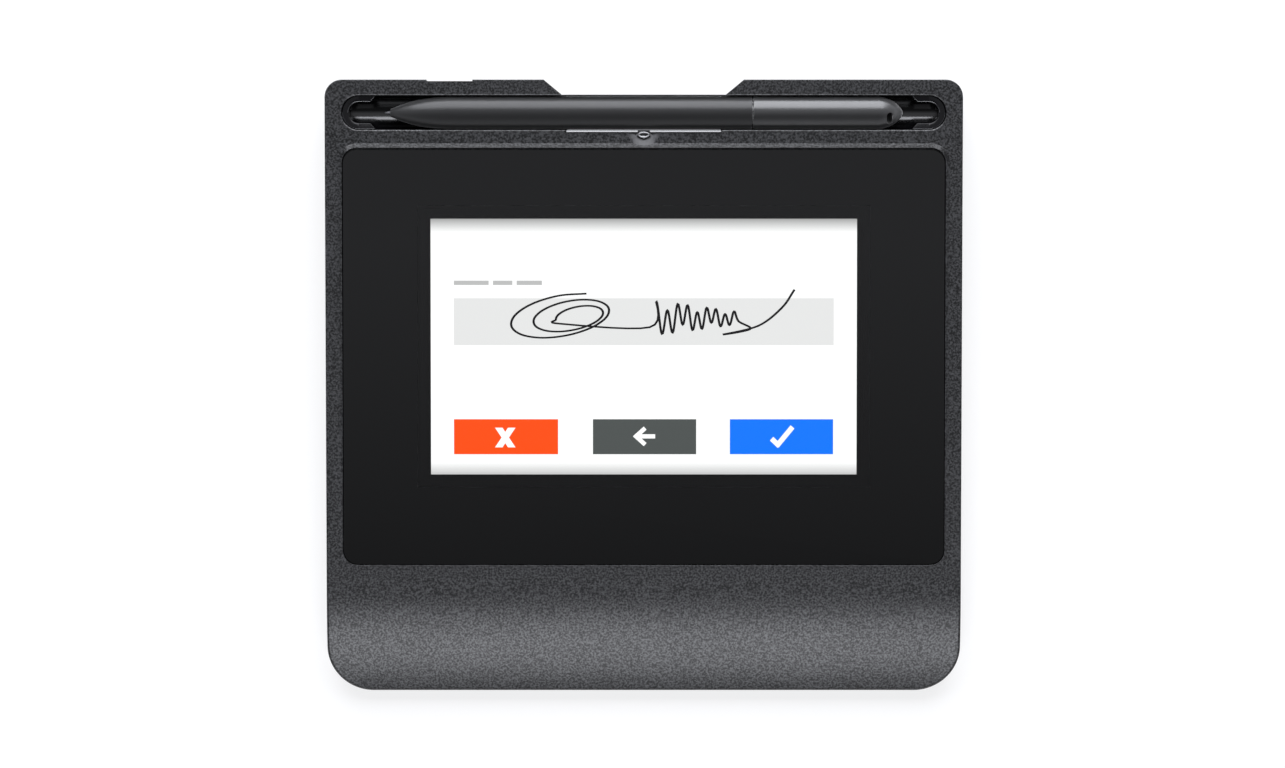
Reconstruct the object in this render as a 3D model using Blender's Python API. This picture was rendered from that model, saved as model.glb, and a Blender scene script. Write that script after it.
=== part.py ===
"""Counter signature pad with its pen lying in the tray.

Metres, +Z up. The origin is on the table under the middle of the case, +X points to the right of
the person who signs and +Y to the rear edge, where the pen lies.
"""

import math

import bmesh
import bpy
from mathutils import Matrix, Vector

# Clearances
SEAT_GAP = 0.0003  # between faces that rest on each other
OVERRUN = 0.0040  # how far a cutter runs past the face that it cuts
MERGE_DISTANCE = 0.000003  # points closer than this are one point

# Roundness of curved outlines, in segments
FRONT_ARC_STEPS = 8
REAR_ARC_STEPS = 5
PALM_STEPS = 6
EDGE_STEPS = 3
CORNER_STEPS = 4
PIN_STEPS = 14
PEN_STEPS = 24
WIRE_STEPS = 6
NIB_ROUND_STEPS = 3
SMOOTH_ANGLE = math.radians(35.0)

# Lit area of the display, which the rest is built round
ACTIVE_WIDTH = 0.1080
ACTIVE_LENGTH = 0.0648

# Case outline and walls
CASE_RIM = 0.0044  # from the glass to the side of the case
PALM_LENGTH = 0.0325  # from the front edge of the case to the glass
PALM_FLAT = 0.0066  # level part of the palm rest, next to the glass
SLOT_BRIDGE = 0.0049  # from the glass to the pen slot
FRONT_CORNER_RADIUS = 0.0115
REAR_CORNER_RADIUS = 0.0044
SIDE_WALL = 0.0020
TOP_WALL = 0.0020
FLOOR_WALL = 0.0018
FOOT_STANDOFF = 0.0010  # from the table to the underside of the floor
SPLIT_HEIGHT = 0.0032  # lower edge of the top cover
LIP_BAND = 0.0002  # straight wall left under the rounded front edge
EDGE_RADIUS = 0.0014
FLOOR_CHAMFER = 0.0008
LIP_THICKNESS = 0.0010  # upstand of the bottom cover inside the top cover
LIP_RISE = 0.0014

# Slope of the top
GLASS_TILT = math.radians(2.5)
COVER_TILT = math.radians(3.0)
COVER_PROUD = 0.0001  # cover above the glass at the front edge of the glass
PALM_POWER = 2.2

# Cover glass and the ledge under it
GLASS_SIDE_BORDER = 0.0221  # from the lit area to the edges of the glass
GLASS_FRONT_BORDER = 0.0229
GLASS_REAR_BORDER = 0.0173
GLASS_RADIUS = 0.0035
GLASS_THICKNESS = 0.0015
GLASS_EDGE_BEVEL = 0.0002
TAPE_THICKNESS = 0.0002
TAPE_WIDTH = 0.0060
LEDGE_CLEARANCE = 0.0021  # from the display's frame to the ledge round it
LEDGE_THICKNESS = 0.0015
RECESS_FLARE = 0.0011  # width and height of the sloping edge round the glass
COVER_RIM_DROP = 0.0007  # top of the thick wall round the glass, below the glass

# Display, sensor and carrier
BEZEL_BORDER = 0.0060
BEZEL_SHEET = 0.0003
BEZEL_REVEAL = 0.0010  # bezel opening beyond the active area
BEZEL_RADIUS = 0.0008
PANEL_THICKNESS = 0.0011
BACKLIGHT_THICKNESS = 0.0016
SENSOR_MARGIN = 0.0030
SENSOR_THICKNESS = 0.0008
SHIELD_INSET = 0.0005
SHIELD_THICKNESS = 0.0004
CARRIER_WALL = 0.0020
CARRIER_FLOOR = 0.0010
CARRIER_RADIUS = 0.0030
EAR_RADIUS = 0.0034
EAR_REACH = 0.0040
EAR_INSET = 0.0072  # from the front and rear of the carrier to the middle of an ear
EAR_BOSS_RADIUS = 0.0024
STACK_STANDOFF = 0.0007  # floor to carrier, measured under the front edge of the glass

# Small screws of the carrier and the main board
SMALL_SHAFT_RADIUS = 0.0008
SMALL_HEAD_RADIUS = 0.0016
SMALL_HEAD_HEIGHT = 0.0008
EAR_SCREW_LENGTH = 0.0042
BOARD_SCREW_LENGTH = 0.0032

# Case screws and their bosses
SCREW_SHAFT_RADIUS = 0.00125
SCREW_HEAD_RADIUS = 0.0023
SCREW_HEAD_HEIGHT = 0.0013
SCREW_LENGTH = 0.0062
SCREW_CROSS_WIDTH = 0.0005
SCREW_CROSS_REACH = 0.0014
SCREW_CROSS_DEPTH = 0.0008
BOSS_RADIUS = 0.0030
SCREW_SEAT_RADIUS = 0.0040
SCREW_CLAMP = 0.0016  # bottom cover left above the screw head
REAR_SCREW_SIDE_INSET = 0.0070  # from the side of the case
REAR_SCREW_GLASS_INSET = 0.0039  # from the rear edge of the glass
FRONT_SCREW_SIDE_INSET = 0.0105
FRONT_SCREW_INSET = 0.0195  # from the front edge of the case
MIDDLE_SCREW_INSET = 0.0175

# Pen slot, tray and the clips in its ends
TRAY_REAR_ROOM = 0.0005  # from the tray to the inside of the rear wall
TRAY_END_ROOM = 0.0009  # from the tray to the inside of the side walls
SLOT_RADIUS = 0.0045
SLOT_CHAMFER = 0.0006
TRAY_WALL = 0.0012
CLIP_WALL = 0.0015
CLIP_ARM = 0.0042  # straight part of a clip's arms
CLIP_POINT = 0.0014  # slope on the end of an arm
CLIP_SINK = 0.0007  # top of a clip below the cover
CLIP_DEPTH = 0.0030  # clip below the middle of the tray's round floor

# Finger notch in the rear edge, and the bay that it opens under the pen
NOTCH_REAR_WIDTH = 0.0506
NOTCH_INNER_WIDTH = 0.0414
NOTCH_UNDERCUT = 0.0001  # the notch wall stands this far in front of the slot's rear side
BAY_DEPTH = 0.0070
BAY_FILLET = 0.0030
BAY_LIP = 0.0004  # floor of the bay proud of the notch wall
RIM_LIP = 0.0005  # thickness of the tray's edge that comes up through the cover in front of the bay

# Scoop and tether eyelet
SCOOP_RADIUS = 0.0080
SCOOP_DEPTH = 0.0017
SCOOP_SLOPE = math.radians(18.0)
SCOOP_LENGTH = 0.0060
EYELET_HALF_WIDTH = 0.00128
EYELET_HALF_DEPTH = 0.00053
EYELET_WIRE_RADIUS = 0.00027
EYELET_GAP_WIDTH = 0.0031  # opening behind the eyelet for the cord's knot
EYELET_SINK = 0.0004
EYELET_SETBACK = 0.00105  # from the edge of the slot to the middle of the eyelet
EYELET_STEM_RADIUS = 0.00040

# Pen
PEN_CLEARANCE = 0.0004  # between the pen and the sides of the slot
PEN_END_ROOM = 0.0109  # between each end of the pen and the end of the slot
TAIL_LENGTH = 0.0381
PEN_WALL = 0.0010
NIB_RADIUS = 0.00055
NIB_GAP = 0.0002
NIB_REACH = 0.0015  # nib in front of the barrel
NIB_TRAVEL = 0.0005
NOSE_LENGTH = 0.0145
NOSE_GUIDE = 0.0080
NOSE_FUNNEL = 0.0058
NOSE_SHARES = ((0.0, 0.24), (0.07, 0.34), (0.2, 0.525), (0.38, 0.72), (0.54, 0.84), (0.74, 0.94), (1.0, 1.0))
TAIL_END_LENGTH = 0.0062
TAIL_END_SHARES = ((0.0, 1.0), (0.2, 0.95), (0.45, 0.83), (0.66, 0.67), (0.82, 0.45), (0.94, 0.25))
TAIL_SOLID_END = 0.0135
SPIGOT_LENGTH = 0.0077
SPIGOT_BORE = 0.0020
TETHER_HOLE_WIDTH = 0.0015
TETHER_HOLE_LENGTH = 0.0032
TETHER_HOLE_INSET = 0.0035
TETHER_HOLE_TURN = math.radians(30.0)

# Inside the pen
FERRITE_RADIUS = 0.0018
FERRITE_LENGTH = 0.0097
COIL_WALL = 0.0007
COIL_MARGIN = 0.0006
PRESSURE_SENSOR_LENGTH = 0.0077
PEN_BOARD_ROOM = 0.0156  # from the board to the tail's spigot
PEN_BOARD_WIDTH = 0.0046
PEN_BOARD_THICKNESS = 0.0008
CAPACITOR_LENGTH = 0.0030
CAPACITOR_WIDTH = 0.0016
CAPACITOR_HEIGHT = 0.0010

# Main board and what is on it
BOARD_SIDE_MARGIN = 0.0125  # from the side of the case
BOARD_NOTCH_MARGIN = 0.0047  # from the corner of the finger notch
BOARD_LENGTH = 0.0350
BOARD_THICKNESS = 0.0010
BOARD_HOLE_INSET = 0.0026
STANDOFF_HEIGHT = 0.0010
STANDOFF_RADIUS = 0.0022
CHIP_HEIGHT = 0.0009
CONTROLLER_SIDE = 0.0090
DRIVER_SIDE = 0.0060
CHIP_SETBACK = 0.0085  # from the front edge of the board to the middle of the chips
CONTROLLER_OFFSET = -0.0050
DRIVER_OFFSET = 0.0080
CONNECTOR_HEIGHT = 0.0012
CONNECTOR_LENGTH = 0.0040
CONNECTOR_ROOM = 0.0027  # from a connector to the USB socket
CONNECTOR_MARGIN = 0.0040  # beside and between the connectors
SENSOR_CONNECTOR_WIDTH = 0.0080

# Ribbons
RIBBON_THICKNESS = 0.0002
RIBBON_MARGIN = 0.0010  # connector beyond each side of its ribbon
RIBBON_SLOT_DEPTH = 0.0015
RIBBON_STEPS = 9
RIBBON_BEND_SHARES = (0.6, 0.75)  # of the ribbon's way back: how far each end runs straight on

# USB socket and its opening
USB_WIDTH = 0.0090
USB_HEIGHT = 0.0032
USB_DEPTH = 0.0085
USB_SHEET = 0.0003
USB_CORNER = 0.0014
USB_BASE_LENGTH = 0.0015
USB_TONGUE_LENGTH = 0.0050
USB_TONGUE_WIDTH = 0.0062
USB_TONGUE_HEIGHT = 0.0007
PORT_MARGIN = 0.0007
PORT_RELIEF_MARGIN = 0.0006
PORT_RELIEF_DEPTH = 0.0004

# Security slot and the plate behind it
LOCK_SIDE_MARGIN = 0.0245  # from the side of the case
LOCK_HEIGHT = 0.0075
LOCK_SLOT_WIDTH = 0.0070
LOCK_SLOT_HEIGHT = 0.0032
LOCK_SLOT_CORNER = 0.0008
LOCK_PLATE_WIDTH = 0.0160
LOCK_PLATE_HEIGHT = 0.0052
LOCK_PLATE_THICKNESS = 0.0012
LOCK_RIB_WIDTH = 0.0012

# Feet and label
FOOT_LENGTH = 0.0240
FOOT_WIDTH = 0.0090
FOOT_RECESS = 0.0008
FOOT_SIDE_INSET = 0.0285
REAR_FOOT_INSET = 0.0140
FRONT_FOOT_INSET = 0.0115
FOOT_EDGE_BEVEL = 0.0003
LABEL_WIDTH = 0.0640
LABEL_LENGTH = 0.0360
LABEL_RADIUS = 0.0020
LABEL_THICKNESS = 0.0002
LABEL_RECESS = 0.0005

# Sizes and places that follow from those above
GLASS_WIDTH = ACTIVE_WIDTH + 2 * GLASS_SIDE_BORDER
GLASS_LENGTH = ACTIVE_LENGTH + GLASS_FRONT_BORDER + GLASS_REAR_BORDER
ACTIVE_SHIFT = (GLASS_FRONT_BORDER - GLASS_REAR_BORDER) / 2
GLASS_DEPTH = GLASS_LENGTH * math.cos(GLASS_TILT)
REAR_BAND = SLOT_BRIDGE + 2 * SLOT_RADIUS + TRAY_WALL + TRAY_REAR_ROOM + SIDE_WALL
CASE_WIDTH = GLASS_WIDTH + 2 * CASE_RIM
CASE_LENGTH = PALM_LENGTH + GLASS_DEPTH + REAR_BAND
HALF_WIDTH = CASE_WIDTH / 2
HALF_LENGTH = CASE_LENGTH / 2
FLOOR_TOP = FOOT_STANDOFF + FLOOR_WALL
GLASS_FRONT_Y = PALM_LENGTH - HALF_LENGTH
GLASS_REAR_Y = GLASS_FRONT_Y + GLASS_DEPTH
PALM_REACH = PALM_LENGTH - PALM_FLAT
PALM_START_Y = PALM_REACH - HALF_LENGTH
FRONT_LIP_HEIGHT = SPLIT_HEIGHT + LIP_BAND + EDGE_RADIUS
LEDGE_TOP = -(GLASS_THICKNESS + TAPE_THICKNESS + 2 * SEAT_GAP)
LEDGE_BOTTOM = LEDGE_TOP - LEDGE_THICKNESS

BEZEL_WIDTH = ACTIVE_WIDTH + 2 * BEZEL_BORDER
BEZEL_LENGTH = ACTIVE_LENGTH + 2 * BEZEL_BORDER
BEZEL_TOP = -(GLASS_THICKNESS + SEAT_GAP)
PANEL_TOP = BEZEL_TOP - BEZEL_SHEET - SEAT_GAP
BACKLIGHT_TOP = PANEL_TOP - PANEL_THICKNESS - SEAT_GAP
BEZEL_BOTTOM = BACKLIGHT_TOP - BACKLIGHT_THICKNESS
SENSOR_TOP = BEZEL_BOTTOM - SEAT_GAP
SENSOR_WIDTH = BEZEL_WIDTH + 2 * SENSOR_MARGIN
SENSOR_LENGTH = BEZEL_LENGTH + 2 * SENSOR_MARGIN
SHIELD_TOP = SENSOR_TOP - SENSOR_THICKNESS - SEAT_GAP
POCKET_FLOOR = SHIELD_TOP - SHIELD_THICKNESS - SEAT_GAP
POCKET_WIDTH = SENSOR_WIDTH + 2 * SEAT_GAP
POCKET_LENGTH = SENSOR_LENGTH + 2 * SEAT_GAP
CARRIER_TOP = LEDGE_BOTTOM - SEAT_GAP
CARRIER_BOTTOM = POCKET_FLOOR - CARRIER_FLOOR
CARRIER_WIDTH = POCKET_WIDTH + 2 * CARRIER_WALL
CARRIER_LENGTH = POCKET_LENGTH + 2 * CARRIER_WALL
EAR_X = CARRIER_WIDTH / 2 + EAR_REACH
EAR_SPAN = CARRIER_LENGTH / 2 - EAR_INSET
EAR_PLACES = [(side * EAR_X, ACTIVE_SHIFT + end * EAR_SPAN) for side in (-1, 1) for end in (-1, 1)]
GLASS_FRONT_HEIGHT = FLOOR_TOP + STACK_STANDOFF - CARRIER_BOTTOM
GLASS_MIDDLE_Y = GLASS_FRONT_Y + GLASS_DEPTH / 2
GLASS_MIDDLE_Z = GLASS_FRONT_HEIGHT + GLASS_LENGTH / 2 * math.sin(GLASS_TILT)
CARRIER_REAR_Y = GLASS_MIDDLE_Y + (ACTIVE_SHIFT + CARRIER_LENGTH / 2) * math.cos(GLASS_TILT)

TRAY_OUTER_RADIUS = SLOT_RADIUS + TRAY_WALL
TRAY_Y = HALF_LENGTH - SIDE_WALL - TRAY_REAR_ROOM - TRAY_OUTER_RADIUS
SLOT_HALF_LENGTH = HALF_WIDTH - SIDE_WALL - TRAY_END_ROOM - TRAY_WALL
NOTCH_Y = TRAY_Y + SLOT_RADIUS - NOTCH_UNDERCUT
SLOT_FRONT_Y = TRAY_Y - SLOT_RADIUS
BAY_WIDTH = NOTCH_INNER_WIDTH - 2 * TRAY_WALL
BAY_ROOM_Y = SLOT_FRONT_Y - TRAY_WALL - SEAT_GAP
EYELET_Y = SLOT_FRONT_Y - EYELET_SETBACK
EYELET_STEM_Y = EYELET_Y - EYELET_HALF_DEPTH

REAR_SCREW_X = HALF_WIDTH - REAR_SCREW_SIDE_INSET
REAR_SCREW_Y = GLASS_REAR_Y - REAR_SCREW_GLASS_INSET
FRONT_SCREW_X = HALF_WIDTH - FRONT_SCREW_SIDE_INSET
FRONT_SCREW_Y = FRONT_SCREW_INSET - HALF_LENGTH
SCREW_PLACES = [
    (-REAR_SCREW_X, REAR_SCREW_Y),
    (REAR_SCREW_X, REAR_SCREW_Y),
    (-FRONT_SCREW_X, FRONT_SCREW_Y),
    (FRONT_SCREW_X, FRONT_SCREW_Y),
    (0, (CARRIER_REAR_Y + BAY_ROOM_Y) / 2),
    (0, MIDDLE_SCREW_INSET - HALF_LENGTH),
]
SCREW_HEAD_TOP = FLOOR_TOP - SEAT_GAP
SCREW_SEAT_TOP = FLOOR_TOP + SCREW_CLAMP
BOSS_FOOT = SCREW_SEAT_TOP + SEAT_GAP

PEN_RADIUS = SLOT_RADIUS - PEN_CLEARANCE
PEN_LENGTH = 2 * (SLOT_HALF_LENGTH - PEN_END_ROOM)

BOARD_LEFT_X = BOARD_SIDE_MARGIN - HALF_WIDTH
BOARD_WIDTH = -BOARD_LEFT_X - NOTCH_REAR_WIDTH / 2 - BOARD_NOTCH_MARGIN
BOARD_X = BOARD_LEFT_X + BOARD_WIDTH / 2
BOARD_REAR_Y = HALF_LENGTH - SIDE_WALL - LIP_THICKNESS - 3 * SEAT_GAP
BOARD_Y = BOARD_REAR_Y - BOARD_LENGTH / 2
BOARD_BOTTOM = FLOOR_TOP + STANDOFF_HEIGHT + SEAT_GAP
BOARD_TOP = BOARD_BOTTOM + BOARD_THICKNESS
ON_BOARD = BOARD_TOP + SEAT_GAP
STANDOFF_X = BOARD_WIDTH / 2 - BOARD_HOLE_INSET
STANDOFF_Y = BOARD_LENGTH / 2 - BOARD_HOLE_INSET
STANDOFF_PLACES = [
    (BOARD_X + side * STANDOFF_X, BOARD_Y + end * STANDOFF_Y) for side in (-1, 1) for end in (-1, 1)
]
USB_FRONT_Y = HALF_LENGTH - SIDE_WALL - SEAT_GAP
USB_HEIGHT_Z = ON_BOARD + USB_HEIGHT / 2
CONNECTOR_Y = USB_FRONT_Y - USB_DEPTH - CONNECTOR_ROOM - CONNECTOR_LENGTH / 2
DISPLAY_CONNECTOR_WIDTH = BOARD_WIDTH - SENSOR_CONNECTOR_WIDTH - 3 * CONNECTOR_MARGIN
DISPLAY_CONNECTOR_X = BOARD_LEFT_X + CONNECTOR_MARGIN + DISPLAY_CONNECTOR_WIDTH / 2
SENSOR_CONNECTOR_X = BOARD_X + BOARD_WIDTH / 2 - CONNECTOR_MARGIN - SENSOR_CONNECTOR_WIDTH / 2
CONNECTORS = {
    "display": (DISPLAY_CONNECTOR_WIDTH, DISPLAY_CONNECTOR_X),
    "sensor": (SENSOR_CONNECTOR_WIDTH, SENSOR_CONNECTOR_X),
}
LOCK_X = HALF_WIDTH - LOCK_SIDE_MARGIN
FOOT_X = HALF_WIDTH - FOOT_SIDE_INSET
REAR_FOOT_Y = HALF_LENGTH - REAR_FOOT_INSET
FRONT_FOOT_Y = FRONT_FOOT_INSET - HALF_LENGTH
FOOT_PLACES = {
    "foot_rear_left": (-FOOT_X, REAR_FOOT_Y),
    "foot_rear_right": (FOOT_X, REAR_FOOT_Y),
    "foot_front_left": (-FOOT_X, FRONT_FOOT_Y),
    "foot_front_right": (FOOT_X, FRONT_FOOT_Y),
}

FINISHES = {
    "case": ((0.052, 0.053, 0.056), 0.62, 0.0),
    "glass": ((0.012, 0.012, 0.014), 0.22, 0.0),
    "tray": ((0.006, 0.006, 0.007), 0.15, 0.0),
    "pen": ((0.045, 0.046, 0.049), 0.38, 0.0),
    "pen_tail": ((0.085, 0.087, 0.092), 0.25, 0.0),
    "nib": ((0.30, 0.30, 0.31), 0.45, 0.0),
    "rubber": ((0.015, 0.015, 0.015), 0.90, 0.0),
    "steel": ((0.55, 0.55, 0.56), 0.30, 1.0),
    "copper": ((0.70, 0.35, 0.18), 0.35, 1.0),
    "ferrite": ((0.06, 0.06, 0.07), 0.50, 0.0),
    "board": ((0.02, 0.16, 0.07), 0.45, 0.0),
    "chip": ((0.02, 0.02, 0.02), 0.50, 0.0),
    "connector": ((0.60, 0.57, 0.48), 0.50, 0.0),
    "ribbon": ((0.42, 0.20, 0.05), 0.40, 0.0),
    "display": ((0.80, 0.82, 0.85), 0.20, 0.0),
    "diffuser": ((0.75, 0.75, 0.72), 0.60, 0.0),
    "carrier": ((0.10, 0.10, 0.10), 0.60, 0.0),
    "tape": ((0.02, 0.02, 0.02), 0.80, 0.0),
    "label": ((0.55, 0.55, 0.56), 0.55, 0.0),
}


def clear_scene():
    for obj in list(bpy.data.objects):
        bpy.data.objects.remove(obj)


def finish(name):
    """The material of that name, made once."""
    material = bpy.data.materials.get(name)
    if material is None:
        colour, roughness, metallic = FINISHES[name]
        material = bpy.data.materials.new(name)
        material.use_nodes = True
        shader = material.node_tree.nodes["Principled BSDF"]
        shader.inputs["Base Color"].default_value = (*colour, 1.0)
        shader.inputs["Roughness"].default_value = roughness
        shader.inputs["Metallic"].default_value = metallic
        material.diffuse_color = (*colour, 1.0)
    return material


def object_from(bm, name, material, parent=None):
    """A named object made of a bmesh, with its faces pointing outwards."""
    bmesh.ops.recalc_face_normals(bm, faces=bm.faces[:])
    mesh = bpy.data.meshes.new(name)
    bm.to_mesh(mesh)
    bm.free()
    mesh.materials.append(finish(material))
    obj = bpy.data.objects.new(name, mesh)
    bpy.context.scene.collection.objects.link(obj)
    obj.parent = parent
    return obj


def as_tool(obj):
    """Marks a shape that only cuts or joins another one."""
    obj.hide_render = True
    obj.display_type = "WIRE"
    return obj


def combine(obj, tool, operation):
    as_tool(tool)
    modifier = obj.modifiers.new(f"{operation.lower()} {tool.name}", "BOOLEAN")
    modifier.operation = operation
    modifier.solver = "EXACT"
    modifier.object = tool
    return obj


def cut(obj, *tools):
    for tool in tools:
        combine(obj, tool, "DIFFERENCE")
    return obj


def join(obj, *tools):
    for tool in tools:
        combine(obj, tool, "UNION")
    return obj


def keep_inside(obj, tool):
    return combine(obj, tool, "INTERSECT")


def smooth(obj):
    obj.data.shade_smooth()
    obj.data.set_sharp_from_angle(angle=SMOOTH_ANGLE)
    return obj


def arc(centre_x, centre_y, radius, start, end, steps):
    """Points of an arc, both ends included, angles in degrees."""
    angles = [math.radians(start + (end - start) * i / steps) for i in range(steps + 1)]
    return [(centre_x + radius * math.cos(a), centre_y + radius * math.sin(a)) for a in angles]


def rounded_rectangle(width, length, radius, x=0.0, y=0.0, steps=CORNER_STEPS):
    """Plan outline, anticlockwise, of a rectangle with round corners."""
    radius = min(radius, width / 2, length / 2)
    right, back = width / 2 - radius, length / 2 - radius
    corners = ((right, back, 0), (-right, back, 90), (-right, -back, 180), (right, -back, 270))
    outline = []
    for corner_x, corner_y, start in corners:
        for point in arc(x + corner_x, y + corner_y, radius, start, start + 90, steps):
            if not outline or (Vector(point) - Vector(outline[-1])).length > MERGE_DISTANCE:
                outline.append(point)
    if (Vector(outline[0]) - Vector(outline[-1])).length <= MERGE_DISTANCE:
        outline.pop()
    return outline


def circle(radius, x=0.0, y=0.0, steps=PIN_STEPS):
    return [
        (x + radius * math.cos(2 * math.pi * i / steps), y + radius * math.sin(2 * math.pi * i / steps))
        for i in range(steps)
    ]


def loft(name, rings, material="case", parent=None):
    """Closed solid through rings of as many points each, from the lowest to the highest."""
    bm = bmesh.new()
    made = [[bm.verts.new(point) for point in ring] for ring in rings]
    count = len(made[0])
    for lower, upper in zip(made, made[1:]):
        for i in range(count):
            after = (i + 1) % count
            bm.faces.new((lower[i], lower[after], upper[after], upper[i]))
    bm.faces.new(list(reversed(made[0])))
    bm.faces.new(made[-1])
    return object_from(bm, name, material, parent)


def prism(name, outline, low, high, material="case", parent=None):
    """An outline in plan, extruded from one height to another."""
    bm = bmesh.new()
    face = bm.faces.new([bm.verts.new((x, y, low)) for x, y in outline])
    grown = bmesh.ops.extrude_face_region(bm, geom=[face])["geom"]
    bmesh.ops.translate(
        bm, verts=[v for v in grown if isinstance(v, bmesh.types.BMVert)], vec=(0, 0, high - low)
    )
    return object_from(bm, name, material, parent)


def block(name, width, length, x, y, low, high, material="case", parent=None):
    return prism(name, sharp_rectangle(width, length, x, y), low, high, material, parent)


def sharp_rectangle(width, length, x, y):
    right, back = width / 2, length / 2
    return [(x + right, y + back), (x - right, y + back), (x - right, y - back), (x + right, y - back)]


def along_x(name, section, half_length, x, y, z, material="case"):
    """An outline in Y and Z, extruded along X both ways from a middle point."""
    obj = prism(name, section, -half_length, half_length, material)
    turn = Matrix(((0, 0, 1), (1, 0, 0), (0, 1, 0))).to_4x4()
    obj.data.transform(Matrix.Translation((x, y, z)) @ turn)
    return obj


def across_wall(name, outline, near, far, material="case"):
    """An outline in X and Z, extruded along Y."""
    obj = prism(name, outline, -far, -near, material)
    obj.data.transform(Matrix.Rotation(math.radians(90), 4, "X"))
    return obj


def turned(name, profile, material, middle, steps=PEN_STEPS):
    """Round piece about a line along X. profile is (x, radius) points, closed or ending on the axis."""
    bm = bmesh.new()
    points = [bm.verts.new((x, 0, radius)) for x, radius in profile]
    on_axis = profile[0][1] == 0 and profile[-1][1] == 0
    edges = [bm.edges.new(pair) for pair in zip(points, points[1:])]
    if not on_axis:
        edges.append(bm.edges.new((points[-1], points[0])))
    bmesh.ops.spin(
        bm, geom=points + edges, cent=(0, 0, 0), axis=(1, 0, 0),
        angle=2 * math.pi, steps=steps, use_merge=True,
    )
    bmesh.ops.remove_doubles(bm, verts=bm.verts[:], dist=MERGE_DISTANCE)
    bmesh.ops.translate(bm, verts=bm.verts[:], vec=middle)
    return smooth(object_from(bm, name, material))


def pin(name, radius, x, y, low, high, material="case", parent=None, steps=PIN_STEPS):
    return prism(name, circle(radius, x, y, steps), low, high, material, parent)


def cover_height(y):
    """Height of the top cover's surface at this distance from the middle."""
    height = GLASS_FRONT_HEIGHT + COVER_PROUD + (y - GLASS_FRONT_Y) * math.tan(COVER_TILT)
    if y < PALM_START_Y:
        at_front = GLASS_FRONT_HEIGHT + COVER_PROUD - PALM_LENGTH * math.tan(COVER_TILT)
        fall = at_front - FRONT_LIP_HEIGHT
        height -= fall * ((PALM_START_Y - y) / PALM_REACH) ** PALM_POWER
    return height


TRAY_HEIGHT = cover_height(TRAY_Y - TRAY_OUTER_RADIUS) - TOP_WALL - SEAT_GAP
PEN_HEIGHT = TRAY_HEIGHT - (SLOT_RADIUS - PEN_RADIUS) + SEAT_GAP


def glass_height(y):
    return GLASS_FRONT_HEIGHT + (y - GLASS_FRONT_Y) * math.tan(GLASS_TILT)


def half_outline(inset):
    """Right half of the case outline in plan, from front to rear."""
    right, end = HALF_WIDTH - inset, HALF_LENGTH - inset
    front_radius = max(FRONT_CORNER_RADIUS - inset, SEAT_GAP)
    rear_radius = max(REAR_CORNER_RADIUS - inset, SEAT_GAP)
    front = arc(right - front_radius, front_radius - end, front_radius, -90, 0, FRONT_ARC_STEPS)
    side_start = front_radius - end
    side = [
        (right, side_start + (PALM_START_Y - side_start) * i / PALM_STEPS) for i in range(1, PALM_STEPS + 1)
    ]
    rear = arc(right - rear_radius, end - rear_radius, rear_radius, 0, 90, REAR_ARC_STEPS)
    return front + side + rear


def case_loft(name, levels, material="case"):
    """Solid with the case outline. levels are (inset, height at y); rungs across keep the top curved."""
    bm = bmesh.new()
    rings = []
    for inset, height in levels:
        right = half_outline(inset)
        left = [(-x, y) for x, y in reversed(right)]
        rings.append([bm.verts.new((x, y, height(y))) for x, y in right + left])
    count = len(rings[0])
    for lower, upper in zip(rings, rings[1:]):
        for i in range(count):
            after = (i + 1) % count
            bm.faces.new((lower[i], lower[after], upper[after], upper[i]))
    for ring in (rings[0], rings[-1]):
        for i in range(count // 2 - 1):
            bm.faces.new((ring[i], ring[i + 1], ring[count - 2 - i], ring[count - 1 - i]))
    return object_from(bm, name, material)


def flat(height):
    return lambda y: height


def notch_tool(name, grow):
    """The finger notch in the rear edge, grown by a wall's thickness."""
    inner, rear = NOTCH_INNER_WIDTH / 2, NOTCH_REAR_WIDTH / 2
    side = Vector((rear - inner, HALF_LENGTH - NOTCH_Y)).normalized()
    out = Vector((side.y, -side.x))
    near_y, far_y = NOTCH_Y - grow, HALF_LENGTH + OVERRUN
    start = Vector((inner, NOTCH_Y)) + out * grow
    near_x = start.x + side.x * (near_y - start.y) / side.y
    far_x = start.x + side.x * (far_y - start.y) / side.y
    outline = [(-near_x, near_y), (near_x, near_y), (far_x, far_y), (-far_x, far_y)]
    return prism(name, outline, -OVERRUN, cover_height(HALF_LENGTH) + OVERRUN)


def trough(name, radius, half_length, top, material="tray"):
    """Channel with a round floor and round ends: the shape of the tray and of what fits in it."""
    outline = rounded_rectangle(2 * half_length, 2 * radius, radius, 0, TRAY_Y, 2 * CORNER_STEPS)
    body = prism(name, outline, TRAY_HEIGHT - radius, top, material)
    section = arc(0, 0, radius, 180, 360, 3 * CORNER_STEPS)
    section += [(radius, top - TRAY_HEIGHT + OVERRUN), (-radius, top - TRAY_HEIGHT + OVERRUN)]
    return keep_inside(body, along_x(f"{name}_floor", section, half_length + OVERRUN, 0, TRAY_Y, TRAY_HEIGHT))


def bay(name, grow, rear_y, top):
    """Space under the pen behind the finger notch, grown by a wall's thickness."""
    front, floor = SLOT_FRONT_Y - grow, TRAY_HEIGHT - BAY_DEPTH - grow
    radius = BAY_FILLET + grow
    section = arc(front + radius, floor + radius, radius, 180, 270, CORNER_STEPS)
    section += [(rear_y, floor), (rear_y, top), (front, top)]
    return along_x(name, section, BAY_WIDTH / 2 + grow, 0, 0, 0)


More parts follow.
